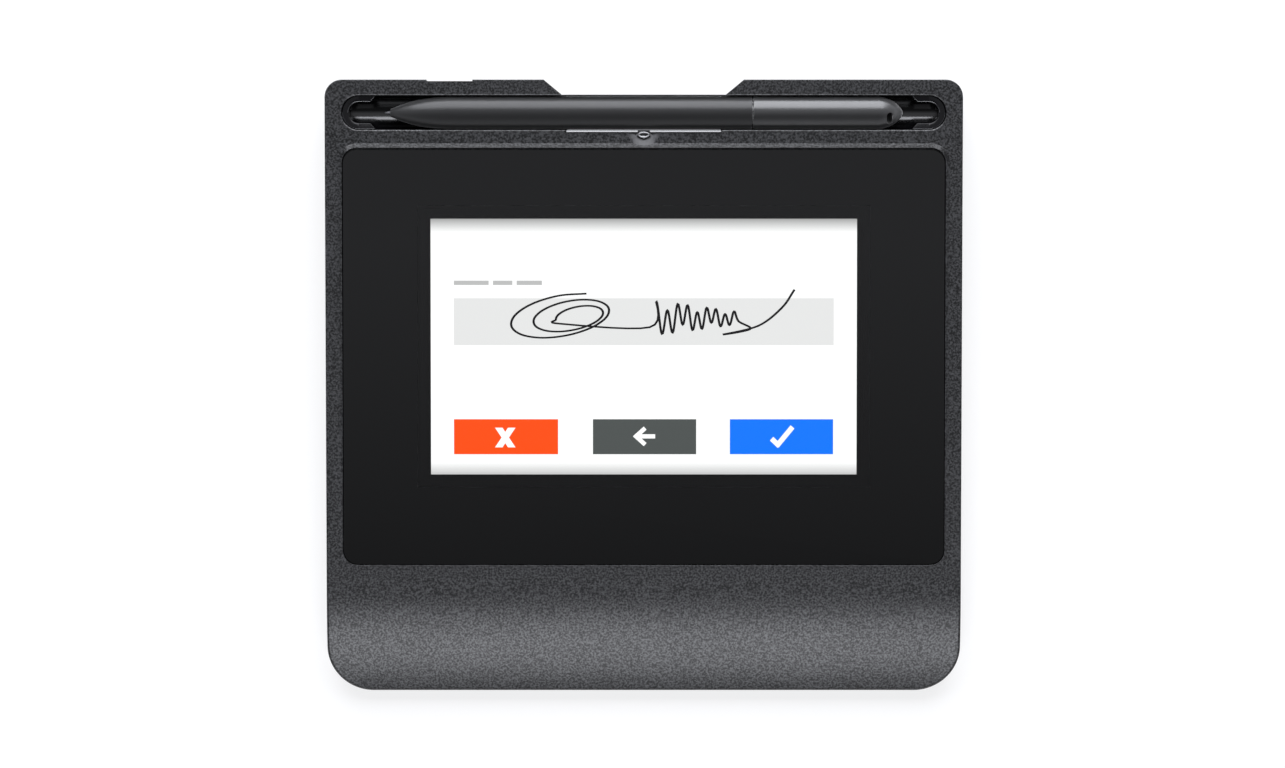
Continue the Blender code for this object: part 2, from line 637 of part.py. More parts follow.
def case_shell():
    """Outer shell of the top cover before its openings are cut."""
    levels = [(0.0, flat(SPLIT_HEIGHT))]
    for i in range(EDGE_STEPS + 1):
        angle = math.radians(90 * i / EDGE_STEPS)
        inset, sink = EDGE_RADIUS * (1 - math.cos(angle)), EDGE_RADIUS * (1 - math.sin(angle))
        levels.append((inset, lambda y, sink=sink: cover_height(y) - sink))
    shell = case_loft("top_cover", levels)
    hollow = case_loft(
        "cover_hollow",
        [(SIDE_WALL, flat(SPLIT_HEIGHT - OVERRUN)), (SIDE_WALL, lambda y: cover_height(y) - TOP_WALL)],
    )
    cut(hollow, notch_tool("cover_hollow_notch", SIDE_WALL))
    return cut(shell, hollow)


def top_cover(glass_plane):
    cover = case_shell()
    rim_width = CASE_WIDTH - SIDE_WALL
    rim_length = GLASS_LENGTH + 2 * RECESS_FLARE + SIDE_WALL / 2
    rim = prism(
        "cover_rim", rounded_rectangle(rim_width, rim_length, GLASS_RADIUS), LEDGE_BOTTOM, -COVER_RIM_DROP,
        parent=glass_plane,
    )
    join(cover, rim)
    for index, (x, y) in enumerate(SCREW_PLACES):
        top = cover_height(y) - TOP_WALL / 2
        if y > GLASS_FRONT_Y:
            top = glass_height(y) + LEDGE_TOP - LEDGE_THICKNESS / 2
        join(cover, pin(f"cover_boss_{index}", BOSS_RADIUS, x, y, BOSS_FOOT, top))
    for index, (x, y) in enumerate(EAR_PLACES):
        low, high = POCKET_FLOOR + SEAT_GAP, LEDGE_BOTTOM + LEDGE_THICKNESS / 2
        join(cover, pin(f"ear_boss_{index}", EAR_BOSS_RADIUS, x, y, low, high, parent=glass_plane))
    for side in (-1, 1):
        x = LOCK_X + side * (LOCK_PLATE_WIDTH / 2 + SEAT_GAP + LOCK_RIB_WIDTH / 2)
        depth = SIDE_WALL / 2 + SEAT_GAP + LOCK_PLATE_THICKNESS
        y = HALF_LENGTH - SIDE_WALL / 2 - depth / 2
        low, high = LOCK_HEIGHT - LOCK_PLATE_HEIGHT / 2, LOCK_HEIGHT + LOCK_PLATE_HEIGHT / 2
        join(cover, block(f"lock_rib_{side + 1}", LOCK_RIB_WIDTH, depth, x, y, low, high))
    cut_glass_recess(cover, glass_plane)
    cut_pen_slot(cover)
    cut_rear_openings(cover)
    for index, (x, y) in enumerate(SCREW_PLACES):
        end = SCREW_HEAD_TOP + SCREW_LENGTH + SEAT_GAP
        bore = pin(f"cover_bore_{index}", SCREW_SHAFT_RADIUS + SEAT_GAP, x, y, BOSS_FOOT - OVERRUN, end)
        cut(cover, bore)
    for index, (x, y) in enumerate(EAR_PLACES):
        end = CARRIER_BOTTOM + EAR_SCREW_LENGTH
        bore = pin(
            f"ear_bore_{index}", SMALL_SHAFT_RADIUS + SEAT_GAP, x, y, CARRIER_BOTTOM - OVERRUN, end,
            parent=glass_plane,
        )
        cut(cover, bore)
    return smooth(cover)


def cut_glass_recess(cover, glass_plane):
    width, length, radius = GLASS_WIDTH + 2 * SEAT_GAP, GLASS_LENGTH + 2 * SEAT_GAP, GLASS_RADIUS + SEAT_GAP
    rings = []
    for grow, height in ((0, LEDGE_TOP), (0, 0), (RECESS_FLARE, RECESS_FLARE), (RECESS_FLARE, OVERRUN)):
        outline = rounded_rectangle(width + 2 * grow, length + 2 * grow, radius + grow)
        rings.append([(x, y, height) for x, y in outline])
    recess = loft("glass_recess", rings, parent=glass_plane)
    window_width, window_length = BEZEL_WIDTH + 2 * LEDGE_CLEARANCE, BEZEL_LENGTH + 2 * LEDGE_CLEARANCE
    window = prism(
        "glass_window", rounded_rectangle(window_width, window_length, GLASS_RADIUS, 0, ACTIVE_SHIFT),
        LEDGE_BOTTOM - OVERRUN, OVERRUN, parent=glass_plane,
    )
    cut(cover, recess, window)


def cut_pen_slot(cover):
    surface = cover_height(TRAY_Y)
    rings = []
    levels = ((0, TRAY_HEIGHT), (0, surface - SLOT_CHAMFER), (SLOT_CHAMFER + OVERRUN, surface + OVERRUN))
    for grow, height in levels:
        half_length, radius = SLOT_HALF_LENGTH + grow, SLOT_RADIUS + grow
        outline = rounded_rectangle(2 * half_length, 2 * radius, radius, 0, TRAY_Y, 2 * CORNER_STEPS)
        rings.append([(x, y, height) for x, y in outline])
    cut(cover, loft("pen_slot", rings))
    wall = TRAY_WALL + SEAT_GAP
    room = trough("tray_room", SLOT_RADIUS + wall, SLOT_HALF_LENGTH + wall, TRAY_HEIGHT + SEAT_GAP)
    bay_room = bay("bay_room", wall, NOTCH_Y + OVERRUN, TRAY_HEIGHT + SEAT_GAP)
    cut(cover, room, bay_room, notch_tool("cover_notch", 0.0))
    cut_scoop(cover)
    rim = block(
        "rim_rebate", BAY_WIDTH + 2 * SEAT_GAP, 2 * (RIM_LIP + SEAT_GAP), 0, SLOT_FRONT_Y, TRAY_HEIGHT,
        surface + OVERRUN,
    )
    gap = block(
        "eyelet_gap", EYELET_GAP_WIDTH, 2 * (SLOT_FRONT_Y - EYELET_STEM_Y), 0, SLOT_FRONT_Y, TRAY_HEIGHT,
        surface + OVERRUN,
    )
    cut(cover, rim, gap)


def scoop_floor(y):
    """Height of the scoop's lowest line."""
    return cover_height(SLOT_FRONT_Y) - SCOOP_DEPTH + (SLOT_FRONT_Y - y) * math.tan(SCOOP_SLOPE)


def cut_scoop(cover):
    bm = bmesh.new()
    bmesh.ops.create_cone(
        bm, cap_ends=True, segments=2 * PEN_STEPS, radius1=SCOOP_RADIUS, radius2=SCOOP_RADIUS,
        depth=SCOOP_LENGTH,
    )
    lean = Matrix.Rotation(math.radians(90) - SCOOP_SLOPE, 4, "X")
    middle = Vector((0, SLOT_FRONT_Y, scoop_floor(SLOT_FRONT_Y) + SCOOP_RADIUS / math.cos(SCOOP_SLOPE)))
    bmesh.ops.transform(bm, matrix=Matrix.Translation(middle) @ lean, verts=bm.verts[:])
    cut(cover, object_from(bm, "scoop", "case"))
    hole = pin(
        "eyelet_hole", EYELET_STEM_RADIUS + SEAT_GAP, 0, EYELET_STEM_Y,
        cover_height(EYELET_Y) - 2 * TOP_WALL, cover_height(EYELET_Y),
    )
    cut(cover, hole)


def cut_rear_openings(cover):
    port = across_wall(
        "port_opening",
        rounded_rectangle(
            USB_WIDTH + 2 * PORT_MARGIN, USB_HEIGHT + 2 * PORT_MARGIN, USB_CORNER, BOARD_X, USB_HEIGHT_Z
        ),
        HALF_LENGTH - SIDE_WALL - SEAT_GAP, HALF_LENGTH + OVERRUN,
    )
    relief_width = USB_WIDTH + 2 * (PORT_MARGIN + PORT_RELIEF_MARGIN)
    relief = block(
        "port_relief", relief_width, OVERRUN, BOARD_X, HALF_LENGTH - PORT_RELIEF_DEPTH + OVERRUN / 2,
        -OVERRUN, cover_height(HALF_LENGTH) + OVERRUN,
    )
    lock = across_wall(
        "lock_opening",
        rounded_rectangle(LOCK_SLOT_WIDTH, LOCK_SLOT_HEIGHT, LOCK_SLOT_CORNER, LOCK_X, LOCK_HEIGHT),
        HALF_LENGTH - SIDE_WALL - SEAT_GAP, HALF_LENGTH + OVERRUN,
    )
    cut(cover, port, relief, lock)


def bottom_cover():
    rim_top = SPLIT_HEIGHT - SEAT_GAP
    levels = [
        (FLOOR_CHAMFER, flat(FOOT_STANDOFF)), (0, flat(FOOT_STANDOFF + FLOOR_CHAMFER)), (0, flat(rim_top))
    ]
    cover = case_loft("bottom_cover", levels)
    lip_inset = SIDE_WALL + SEAT_GAP

    def lip_top(y):
        return min(SPLIT_HEIGHT + LIP_RISE, cover_height(y) - TOP_WALL - SEAT_GAP)

    lip = case_loft("lip_outside", [(lip_inset, flat(FLOOR_TOP - FLOOR_WALL / 2)), (lip_inset, lip_top)])
    cut(lip, notch_tool("lip_notch", lip_inset))
    join(cover, lip)
    pan_inset = lip_inset + LIP_THICKNESS
    pan_top = SPLIT_HEIGHT + LIP_RISE + OVERRUN
    pan = case_loft("pan", [(pan_inset, flat(FLOOR_TOP)), (pan_inset, flat(pan_top))])
    cut(pan, notch_tool("pan_notch", pan_inset))
    cut(cover, pan, notch_tool("floor_notch", 0.0))
    in_floor = FLOOR_TOP - FLOOR_WALL / 2
    for index, (x, y) in enumerate(SCREW_PLACES):
        join(cover, pin(f"screw_seat_{index}", SCREW_SEAT_RADIUS, x, y, in_floor, SCREW_SEAT_TOP))
        head, shaft = SCREW_HEAD_RADIUS + SEAT_GAP, SCREW_SHAFT_RADIUS + SEAT_GAP
        cut(
            cover,
            pin(f"counterbore_{index}", head, x, y, -OVERRUN, FLOOR_TOP),
            pin(f"screw_way_{index}", shaft, x, y, -OVERRUN, SCREW_SEAT_TOP + OVERRUN),
        )
    standoff_top = FLOOR_TOP + STANDOFF_HEIGHT
    thread_end = ON_BOARD - BOARD_SCREW_LENGTH - SEAT_GAP
    for index, (x, y) in enumerate(STANDOFF_PLACES):
        join(cover, pin(f"standoff_{index}", STANDOFF_RADIUS, x, y, in_floor, standoff_top))
        bore = SMALL_SHAFT_RADIUS + SEAT_GAP
        cut(cover, pin(f"standoff_bore_{index}", bore, x, y, thread_end, standoff_top + OVERRUN))
    for name, (x, y) in FOOT_PLACES.items():
        outline = rounded_rectangle(FOOT_LENGTH, FOOT_WIDTH, FOOT_WIDTH / 2, x, y, 2 * CORNER_STEPS)
        cut(cover, prism(f"{name}_recess", outline, -OVERRUN, FOOT_STANDOFF + FOOT_RECESS))
    label = rounded_rectangle(LABEL_WIDTH, LABEL_LENGTH, LABEL_RADIUS)
    cut(cover, prism("label_recess", label, -OVERRUN, FOOT_STANDOFF + LABEL_RECESS))
    return smooth(cover)


def feet_and_label():
    top = FOOT_STANDOFF + FOOT_RECESS - SEAT_GAP
    for name, (x, y) in FOOT_PLACES.items():
        rings = []
        for inset, height in ((FOOT_EDGE_BEVEL, 0), (0, FOOT_EDGE_BEVEL), (0, top)):
            width, length = FOOT_LENGTH - 2 * (SEAT_GAP + inset), FOOT_WIDTH - 2 * (SEAT_GAP + inset)
            outline = rounded_rectangle(width, length, length / 2, 0, 0, 2 * CORNER_STEPS)
            rings.append([(px, py, height) for px, py in outline])
        foot = smooth(loft(name, rings, "rubber"))
        foot.location = (x, y, 0)
    width, length = LABEL_WIDTH - 2 * SEAT_GAP, LABEL_LENGTH - 2 * SEAT_GAP
    outline = rounded_rectangle(width, length, LABEL_RADIUS - SEAT_GAP)
    high = FOOT_STANDOFF + LABEL_RECESS - SEAT_GAP
    prism("blank_label", outline, high - LABEL_THICKNESS, high, "label")


def display_stack(glass_plane):
    """Glass, tape, display, sensor and carrier, in the plane of the glass, top face at zero."""
    rings = []
    bevel = GLASS_EDGE_BEVEL
    for inset, height in ((bevel, -GLASS_THICKNESS), (0, bevel - GLASS_THICKNESS), (0, -bevel), (bevel, 0)):
        outline = rounded_rectangle(GLASS_WIDTH - 2 * inset, GLASS_LENGTH - 2 * inset, GLASS_RADIUS - inset)
        rings.append([(x, y, height) for x, y in outline])
    loft("cover_glass", rings, "glass", glass_plane)

    tape_top = -GLASS_THICKNESS - SEAT_GAP
    tape = prism(
        "glass_tape", rounded_rectangle(GLASS_WIDTH, GLASS_LENGTH, GLASS_RADIUS),
        tape_top - TAPE_THICKNESS, tape_top, "tape", glass_plane,
    )
    tape_inside = rounded_rectangle(GLASS_WIDTH - 2 * TAPE_WIDTH, GLASS_LENGTH - 2 * TAPE_WIDTH, GLASS_RADIUS)
    cut(tape, prism("tape_opening", tape_inside, -OVERRUN, OVERRUN, parent=glass_plane))

    bezel = prism(
        "display_bezel", rounded_rectangle(BEZEL_WIDTH, BEZEL_LENGTH, BEZEL_RADIUS, 0, ACTIVE_SHIFT),
        BEZEL_BOTTOM, BEZEL_TOP, "steel", glass_plane,
    )
    inside_width, inside_length = BEZEL_WIDTH - 2 * BEZEL_SHEET, BEZEL_LENGTH - 2 * BEZEL_SHEET
    inside = block(
        "bezel_inside", inside_width, inside_length, 0, ACTIVE_SHIFT,
        BEZEL_BOTTOM - OVERRUN, BEZEL_TOP - BEZEL_SHEET, parent=glass_plane,
    )
    opening = block(
        "bezel_opening", ACTIVE_WIDTH + 2 * BEZEL_REVEAL, ACTIVE_LENGTH + 2 * BEZEL_REVEAL, 0, ACTIVE_SHIFT,
        BEZEL_BOTTOM, OVERRUN, parent=glass_plane,
    )
    cut(bezel, inside, opening)

    panel_width, panel_length = inside_width - 2 * SEAT_GAP, inside_length - 2 * SEAT_GAP
    flat_pieces = (
        ("display_panel", "display", panel_width, panel_length, PANEL_TOP, PANEL_THICKNESS),
        ("backlight", "diffuser", panel_width, panel_length, BACKLIGHT_TOP, BACKLIGHT_THICKNESS),
        ("sensor_board", "board", SENSOR_WIDTH, SENSOR_LENGTH, SENSOR_TOP, SENSOR_THICKNESS),
        (
            "shield_plate", "steel", SENSOR_WIDTH - 2 * SHIELD_INSET, SENSOR_LENGTH - 2 * SHIELD_INSET,
            SHIELD_TOP, SHIELD_THICKNESS,
        ),
    )
    for name, material, width, length, top, thickness in flat_pieces:
        block(name, width, length, 0, ACTIVE_SHIFT, top - thickness, top, material, glass_plane)
    display_carrier(glass_plane)


def display_carrier(glass_plane):
    carrier = prism(
        "display_carrier", rounded_rectangle(CARRIER_WIDTH, CARRIER_LENGTH, CARRIER_RADIUS, 0, ACTIVE_SHIFT),
        CARRIER_BOTTOM, CARRIER_TOP, "carrier", glass_plane,
    )
    for index, (x, y) in enumerate(EAR_PLACES):
        side = 1 if x > 0 else -1
        root = side * (CARRIER_WIDTH - CARRIER_WALL) / 2
        reach = side * (x - root) + EAR_RADIUS
        ear = prism(
            f"ear_{index}", rounded_rectangle(reach, 2 * EAR_RADIUS, EAR_RADIUS, root + side * reach / 2, y),
            CARRIER_BOTTOM, POCKET_FLOOR, parent=glass_plane,
        )
        join(carrier, ear)
    pocket = block(
        "carrier_pocket", POCKET_WIDTH, POCKET_LENGTH, 0, ACTIVE_SHIFT, POCKET_FLOOR, OVERRUN,
        parent=glass_plane,
    )
    cut(carrier, pocket)
    slot_y = ACTIVE_SHIFT + POCKET_LENGTH / 2 + CARRIER_WALL
    for name, (width, x) in CONNECTORS.items():
        slot = block(
            f"{name}_slot", width, CARRIER_WALL + 2 * OVERRUN, x, slot_y,
            CARRIER_TOP - RIBBON_SLOT_DEPTH, OVERRUN, parent=glass_plane,
        )
        cut(carrier, slot)
    radius, low, high = SMALL_SHAFT_RADIUS + SEAT_GAP, CARRIER_BOTTOM - OVERRUN, CARRIER_TOP + OVERRUN
    for index, (x, y) in enumerate(EAR_PLACES):
        cut(carrier, pin(f"ear_hole_{index}", radius, x, y, low, high, parent=glass_plane))
        screw = small_screw(f"carrier_screw_{index + 1}", EAR_SCREW_LENGTH)
        screw.parent = glass_plane
        screw.location = (x, y, CARRIER_BOTTOM - SEAT_GAP)


def small_screw(name, length):
    """Head below zero, shaft up from zero, on its own axis."""
    return stepped_pin(
        name,
        [(SMALL_HEAD_RADIUS, -SMALL_HEAD_HEIGHT), (SMALL_HEAD_RADIUS, 0), (SMALL_SHAFT_RADIUS, 0),
         (SMALL_SHAFT_RADIUS, length)],
    )


def stepped_pin(name, levels):
    """Round solid about Z through (radius, height) levels."""
    bm = bmesh.new()
    points = [bm.verts.new((0, 0, levels[0][1]))]
    points += [bm.verts.new((radius, 0, height)) for radius, height in levels]
    points.append(bm.verts.new((0, 0, levels[-1][1])))
    edges = [bm.edges.new(pair) for pair in zip(points, points[1:])]
    bmesh.ops.spin(
        bm, geom=points + edges, cent=(0, 0, 0), axis=(0, 0, 1),
        angle=2 * math.pi, steps=PIN_STEPS, use_merge=True,
    )
    bmesh.ops.remove_doubles(bm, verts=bm.verts[:], dist=MERGE_DISTANCE)
    return smooth(object_from(bm, name, "steel"))


def case_screws():
    """Cross-head screws, pushed up through the bottom cover into the bosses of the top cover."""
    first = stepped_pin(
        "case_screw_1",
        [(SCREW_HEAD_RADIUS, -SCREW_HEAD_HEIGHT), (SCREW_HEAD_RADIUS, 0), (SCREW_SHAFT_RADIUS, 0),
         (SCREW_SHAFT_RADIUS, SCREW_LENGTH)],
    )
    bottom, top = -SCREW_HEAD_HEIGHT - OVERRUN, SCREW_CROSS_DEPTH - SCREW_HEAD_HEIGHT
    arms = [
        block(f"screw_cross_{turn}", 2 * across, 2 * along, 0, 0, bottom, top)
        for turn, (across, along) in enumerate(
            ((SCREW_CROSS_WIDTH / 2, SCREW_CROSS_REACH), (SCREW_CROSS_REACH, SCREW_CROSS_WIDTH / 2))
        )
    ]
    cut(first, *arms)
    bpy.context.view_layer.update()
    graph = bpy.context.evaluated_depsgraph_get()
    mesh = bpy.data.meshes.new_from_object(first.evaluated_get(graph))
    first.modifiers.clear()
    first.data = mesh
    for arm in arms:
        bpy.data.objects.remove(arm)
    for index, (x, y) in enumerate(SCREW_PLACES):
        screw = first
        if index:
            screw = bpy.data.objects.new(f"case_screw_{index + 1}", mesh)
            bpy.context.scene.collection.objects.link(screw)
        screw.location = (x, y, SCREW_HEAD_TOP)


def pen_tray():
    """Trough with the open bay under the pen, and the edge that comes up through the cover before it."""
    tray = trough("pen_tray", TRAY_OUTER_RADIUS, SLOT_HALF_LENGTH + TRAY_WALL, TRAY_HEIGHT)
    cut(tray, notch_tool("tray_notch", 0.0))
    floor = TRAY_HEIGHT - BAY_DEPTH
    lip_length = TRAY_WALL + BAY_LIP
    rim_top = cover_height(SLOT_FRONT_Y - RIM_LIP) - SEAT_GAP
    join(
        tray,
        bay("bay_body", TRAY_WALL, NOTCH_Y, TRAY_HEIGHT),
        block(
            "bay_lip", BAY_WIDTH, lip_length, 0, NOTCH_Y + BAY_LIP - lip_length / 2,
            floor - TRAY_WALL / 2, floor + TRAY_WALL / 2,
        ),
        block("rim_lip", BAY_WIDTH, 2 * RIM_LIP, 0, SLOT_FRONT_Y, TRAY_HEIGHT - TRAY_WALL, rim_top),
    )
    cut(
        tray,
        trough("tray_hollow", SLOT_RADIUS, SLOT_HALF_LENGTH, TRAY_HEIGHT + OVERRUN),
        bay("bay_hollow", 0.0, NOTCH_Y + OVERRUN, rim_top + OVERRUN),
        block(
            "rim_gap", EYELET_GAP_WIDTH, 2 * RIM_LIP + OVERRUN, 0, SLOT_FRONT_Y,
            TRAY_HEIGHT, rim_top + OVERRUN,
        ),
    )
    smooth(tray)
    for name, side in (("tray_clip_left", -1), ("tray_clip_right", 1)):
        tray_clip(name, side)


def tray_clip(name, side):
    """U-shaped clip lining one end of the slot."""
    outer = SLOT_RADIUS - SEAT_GAP
    inner = outer - CLIP_WALL
    steps = 3 * CORNER_STEPS
    inner_arm = CLIP_ARM - CLIP_POINT
    half = [(CLIP_ARM, -outer)] + arc(0, 0, outer, 270, 90, steps) + [(CLIP_ARM, outer)]
    half += [(inner_arm, inner)] + arc(0, 0, inner, 90, 270, steps) + [(inner_arm, -inner)]
    middle = SLOT_HALF_LENGTH - SLOT_RADIUS
    outline = [(side * (middle - along), TRAY_Y + across) for along, across in half]
    top = cover_height(TRAY_Y) - CLIP_SINK
    clip = prism(name, outline, TRAY_HEIGHT - CLIP_DEPTH, top, "tray")
    keep_inside(
        clip, trough(f"{name}_room", outer, SLOT_HALF_LENGTH - SEAT_GAP, top + OVERRUN)
    )
    return smooth(clip)


def tether_eyelet():
    """Flat ring on a stem, standing in the scoop."""
    middle = Vector((0, EYELET_Y, cover_height(EYELET_Y) - EYELET_SINK))
    bm = bmesh.new()
    rings, sides = PEN_STEPS, WIRE_STEPS
    verts = []
    for i in range(rings):
        turn = 2 * math.pi * i / rings
        for j in range(sides):
            lean = 2 * math.pi * j / sides
            out = EYELET_WIRE_RADIUS * math.cos(lean)
            point = Vector((
                (EYELET_HALF_WIDTH + out) * math.cos(turn), (EYELET_HALF_DEPTH + out) * math.sin(turn),
                EYELET_WIRE_RADIUS * math.sin(lean),
            ))
            verts.append(bm.verts.new(middle + point))
    for i in range(rings):
        for j in range(sides):
            here, there = i * sides, (i + 1) % rings * sides
            after = (j + 1) % sides
            bm.faces.new((verts[here + j], verts[there + j], verts[there + after], verts[here + after]))
    eyelet = object_from(bm, "tether_eyelet", "steel")
    foot = cover_height(EYELET_Y) - TOP_WALL + SEAT_GAP
    stem = pin("eyelet_stem", EYELET_STEM_RADIUS, 0, EYELET_STEM_Y, foot, middle.z)
    return smooth(join(eyelet, stem))


def pen():
    """Barrel, tail and what is inside, on a line along X. The tip points to the left."""
    tip = -PEN_LENGTH / 2
    middle = Vector((0, TRAY_Y, PEN_HEIGHT))
    seam = PEN_LENGTH / 2 - TAIL_LENGTH
    nose = tip + NIB_REACH
    bore = PEN_RADIUS - PEN_WALL
    guide = NIB_RADIUS + NIB_GAP
    funnel_end = nose + NOSE_GUIDE + NOSE_FUNNEL
    profile = [(nose + NOSE_LENGTH * along, PEN_RADIUS * share) for along, share in NOSE_SHARES]
    profile += [(seam, PEN_RADIUS), (seam, bore), (funnel_end, bore)]
    profile += [(nose + NOSE_GUIDE, guide), (nose, guide)]
    turned("pen_barrel", profile, "pen", middle)

    back = PEN_LENGTH / 2
    tail_start = seam + SEAT_GAP
    spigot = bore - SEAT_GAP
    round_start = back - TAIL_END_LENGTH
    profile = [(back, 0.0)]
    for along, share in reversed(TAIL_END_SHARES):
        profile.append((round_start + TAIL_END_LENGTH * along, PEN_RADIUS * share))
    spigot_end, bore_end = seam - SPIGOT_LENGTH, back - TAIL_SOLID_END
    profile += [
        (tail_start, PEN_RADIUS), (tail_start, spigot), (spigot_end, spigot),
        (spigot_end, SPIGOT_BORE), (bore_end, SPIGOT_BORE), (bore_end, 0.0),
    ]
    tail = turned("pen_tail", profile, "pen_tail", middle)
    hole = prism(
        "tether_hole",
        rounded_rectangle(TETHER_HOLE_WIDTH, TETHER_HOLE_LENGTH, TETHER_HOLE_WIDTH / 2),
        -PEN_RADIUS - OVERRUN, PEN_RADIUS + OVERRUN,
    )
    hole.rotation_euler = (TETHER_HOLE_TURN, 0, 0)
    hole.location = middle + Vector((back - TETHER_HOLE_INSET, 0, 0))
    cut(tail, hole)

    ferrite_start = funnel_end + SEAT_GAP
    ferrite_end = ferrite_start + FERRITE_LENGTH
    sensor_start = ferrite_end + SEAT_GAP
    nib_end = sensor_start - NIB_TRAVEL - SEAT_GAP
    round_middle = tip + NIB_RADIUS
    profile = [(nib_end, 0.0), (nib_end, NIB_RADIUS)]
    profile += arc(round_middle, 0, NIB_RADIUS, 90, 180, NIB_ROUND_STEPS)[:-1]
    turned("pen_nib", profile + [(tip, 0.0)], "nib", middle, PIN_STEPS)

    hole_radius = NIB_RADIUS + NIB_GAP
    sleeve("ferrite_core", ferrite_start, ferrite_end, hole_radius, FERRITE_RADIUS, "ferrite", middle)
    coil_bore = FERRITE_RADIUS + SEAT_GAP
    sleeve(
        "pen_coil", ferrite_start + COIL_MARGIN, ferrite_end - COIL_MARGIN, coil_bore, coil_bore + COIL_WALL,
        "copper", middle,
    )
    sensor_end = sensor_start + PRESSURE_SENSOR_LENGTH
    profile = [(sensor_start, 0.0), (sensor_start, spigot), (sensor_end, spigot), (sensor_end, 0.0)]
    turned("pressure_sensor", profile, "chip", middle, PIN_STEPS)
    board_start = sensor_end + SEAT_GAP
    board_end = spigot_end - PEN_BOARD_ROOM
    board_x = (board_start + board_end) / 2
    low = PEN_HEIGHT - PEN_BOARD_THICKNESS / 2
    top = low + PEN_BOARD_THICKNESS
    block("pen_board", board_end - board_start, PEN_BOARD_WIDTH, board_x, TRAY_Y, low, top, "board")
    on_board = top + SEAT_GAP
    block(
        "pen_capacitor", CAPACITOR_LENGTH, CAPACITOR_WIDTH, board_x, TRAY_Y,
        on_board, on_board + CAPACITOR_HEIGHT, "connector",
    )


def sleeve(name, start, end, inner, outer, material, middle):
    profile = [(start, outer), (end, outer), (end, inner), (start, inner)]
    return turned(name, profile, material, middle, PIN_STEPS)


def main_board():
    board = block("main_board", BOARD_WIDTH, BOARD_LENGTH, BOARD_X, BOARD_Y, BOARD_BOTTOM, BOARD_TOP, "board")
    radius, low, high = SMALL_SHAFT_RADIUS + SEAT_GAP, BOARD_BOTTOM - OVERRUN, BOARD_TOP + OVERRUN
    for index, (x, y) in enumerate(STANDOFF_PLACES):
        cut(board, pin(f"board_hole_{index}", radius, x, y, low, high))
        screw = small_screw(f"board_screw_{index + 1}", BOARD_SCREW_LENGTH)
        screw.rotation_euler = (math.radians(180), 0, 0)
        screw.location = (x, y, ON_BOARD)
    front = BOARD_Y - BOARD_LENGTH / 2
    chips = (
        ("controller_chip", CONTROLLER_SIDE, CONTROLLER_OFFSET),
        ("driver_chip", DRIVER_SIDE, DRIVER_OFFSET),
    )
    for name, side, offset in chips:
        top = ON_BOARD + CHIP_HEIGHT
        block(name, side, side, BOARD_X + offset, front + CHIP_SETBACK, ON_BOARD, top, "chip")
    for name, (width, x) in CONNECTORS.items():
        top = ON_BOARD + CONNECTOR_HEIGHT
        block(f"{name}_connector", width, CONNECTOR_LENGTH, x, CONNECTOR_Y, ON_BOARD, top, "connector")


def bezier(points, share):
    """Point of a Bezier curve, by de Casteljau's rule."""
    while len(points) > 1:
        points = [a.lerp(b, share) for a, b in zip(points, points[1:])]
    return points[0]


def ribbons(glass_plane):
    """Flat cables from the display stack, through the carrier's rear wall, down to the main board."""
    bpy.context.view_layer.update()
    into_world = glass_plane.matrix_world
    wall_end = ACTIVE_SHIFT + CARRIER_LENGTH / 2
    bezel_end = ACTIVE_SHIFT + BEZEL_LENGTH / 2
    connector_front = CONNECTOR_Y - CONNECTOR_LENGTH / 2
    slot_middle = CARRIER_TOP - RIBBON_SLOT_DEPTH / 2
    for name, (width, x) in CONNECTORS.items():
        start = into_world @ Vector((0, bezel_end + SEAT_GAP, slot_middle))
        clear = into_world @ Vector((0, wall_end + SEAT_GAP, slot_middle))
        end = Vector((0, connector_front - SEAT_GAP, ON_BOARD + CONNECTOR_HEIGHT / 2))
        along = (clear - start).normalized()
        run = end.y - clear.y
        leaves, arrives = (run * share for share in RIBBON_BEND_SHARES)
        bend = [clear, clear + along * leaves, end - Vector((0, arrives, 0)), end]
        path = [start] + [bezier(bend, i / RIBBON_STEPS) for i in range(RIBBON_STEPS + 1)]
        half = width / 2 - RIBBON_MARGIN
        bm = bmesh.new()
        pairs = [[bm.verts.new((x + side * half, point.y, point.z)) for side in (-1, 1)] for point in path]
        for (left, right), (left_after, right_after) in zip(pairs, pairs[1:]):
            bm.faces.new((left, right, right_after, left_after))
        ribbon = object_from(bm, f"{name}_ribbon", "ribbon")
        thicken = ribbon.modifiers.new("thickness", "SOLIDIFY")
        thicken.thickness = RIBBON_THICKNESS
        thicken.offset = 0


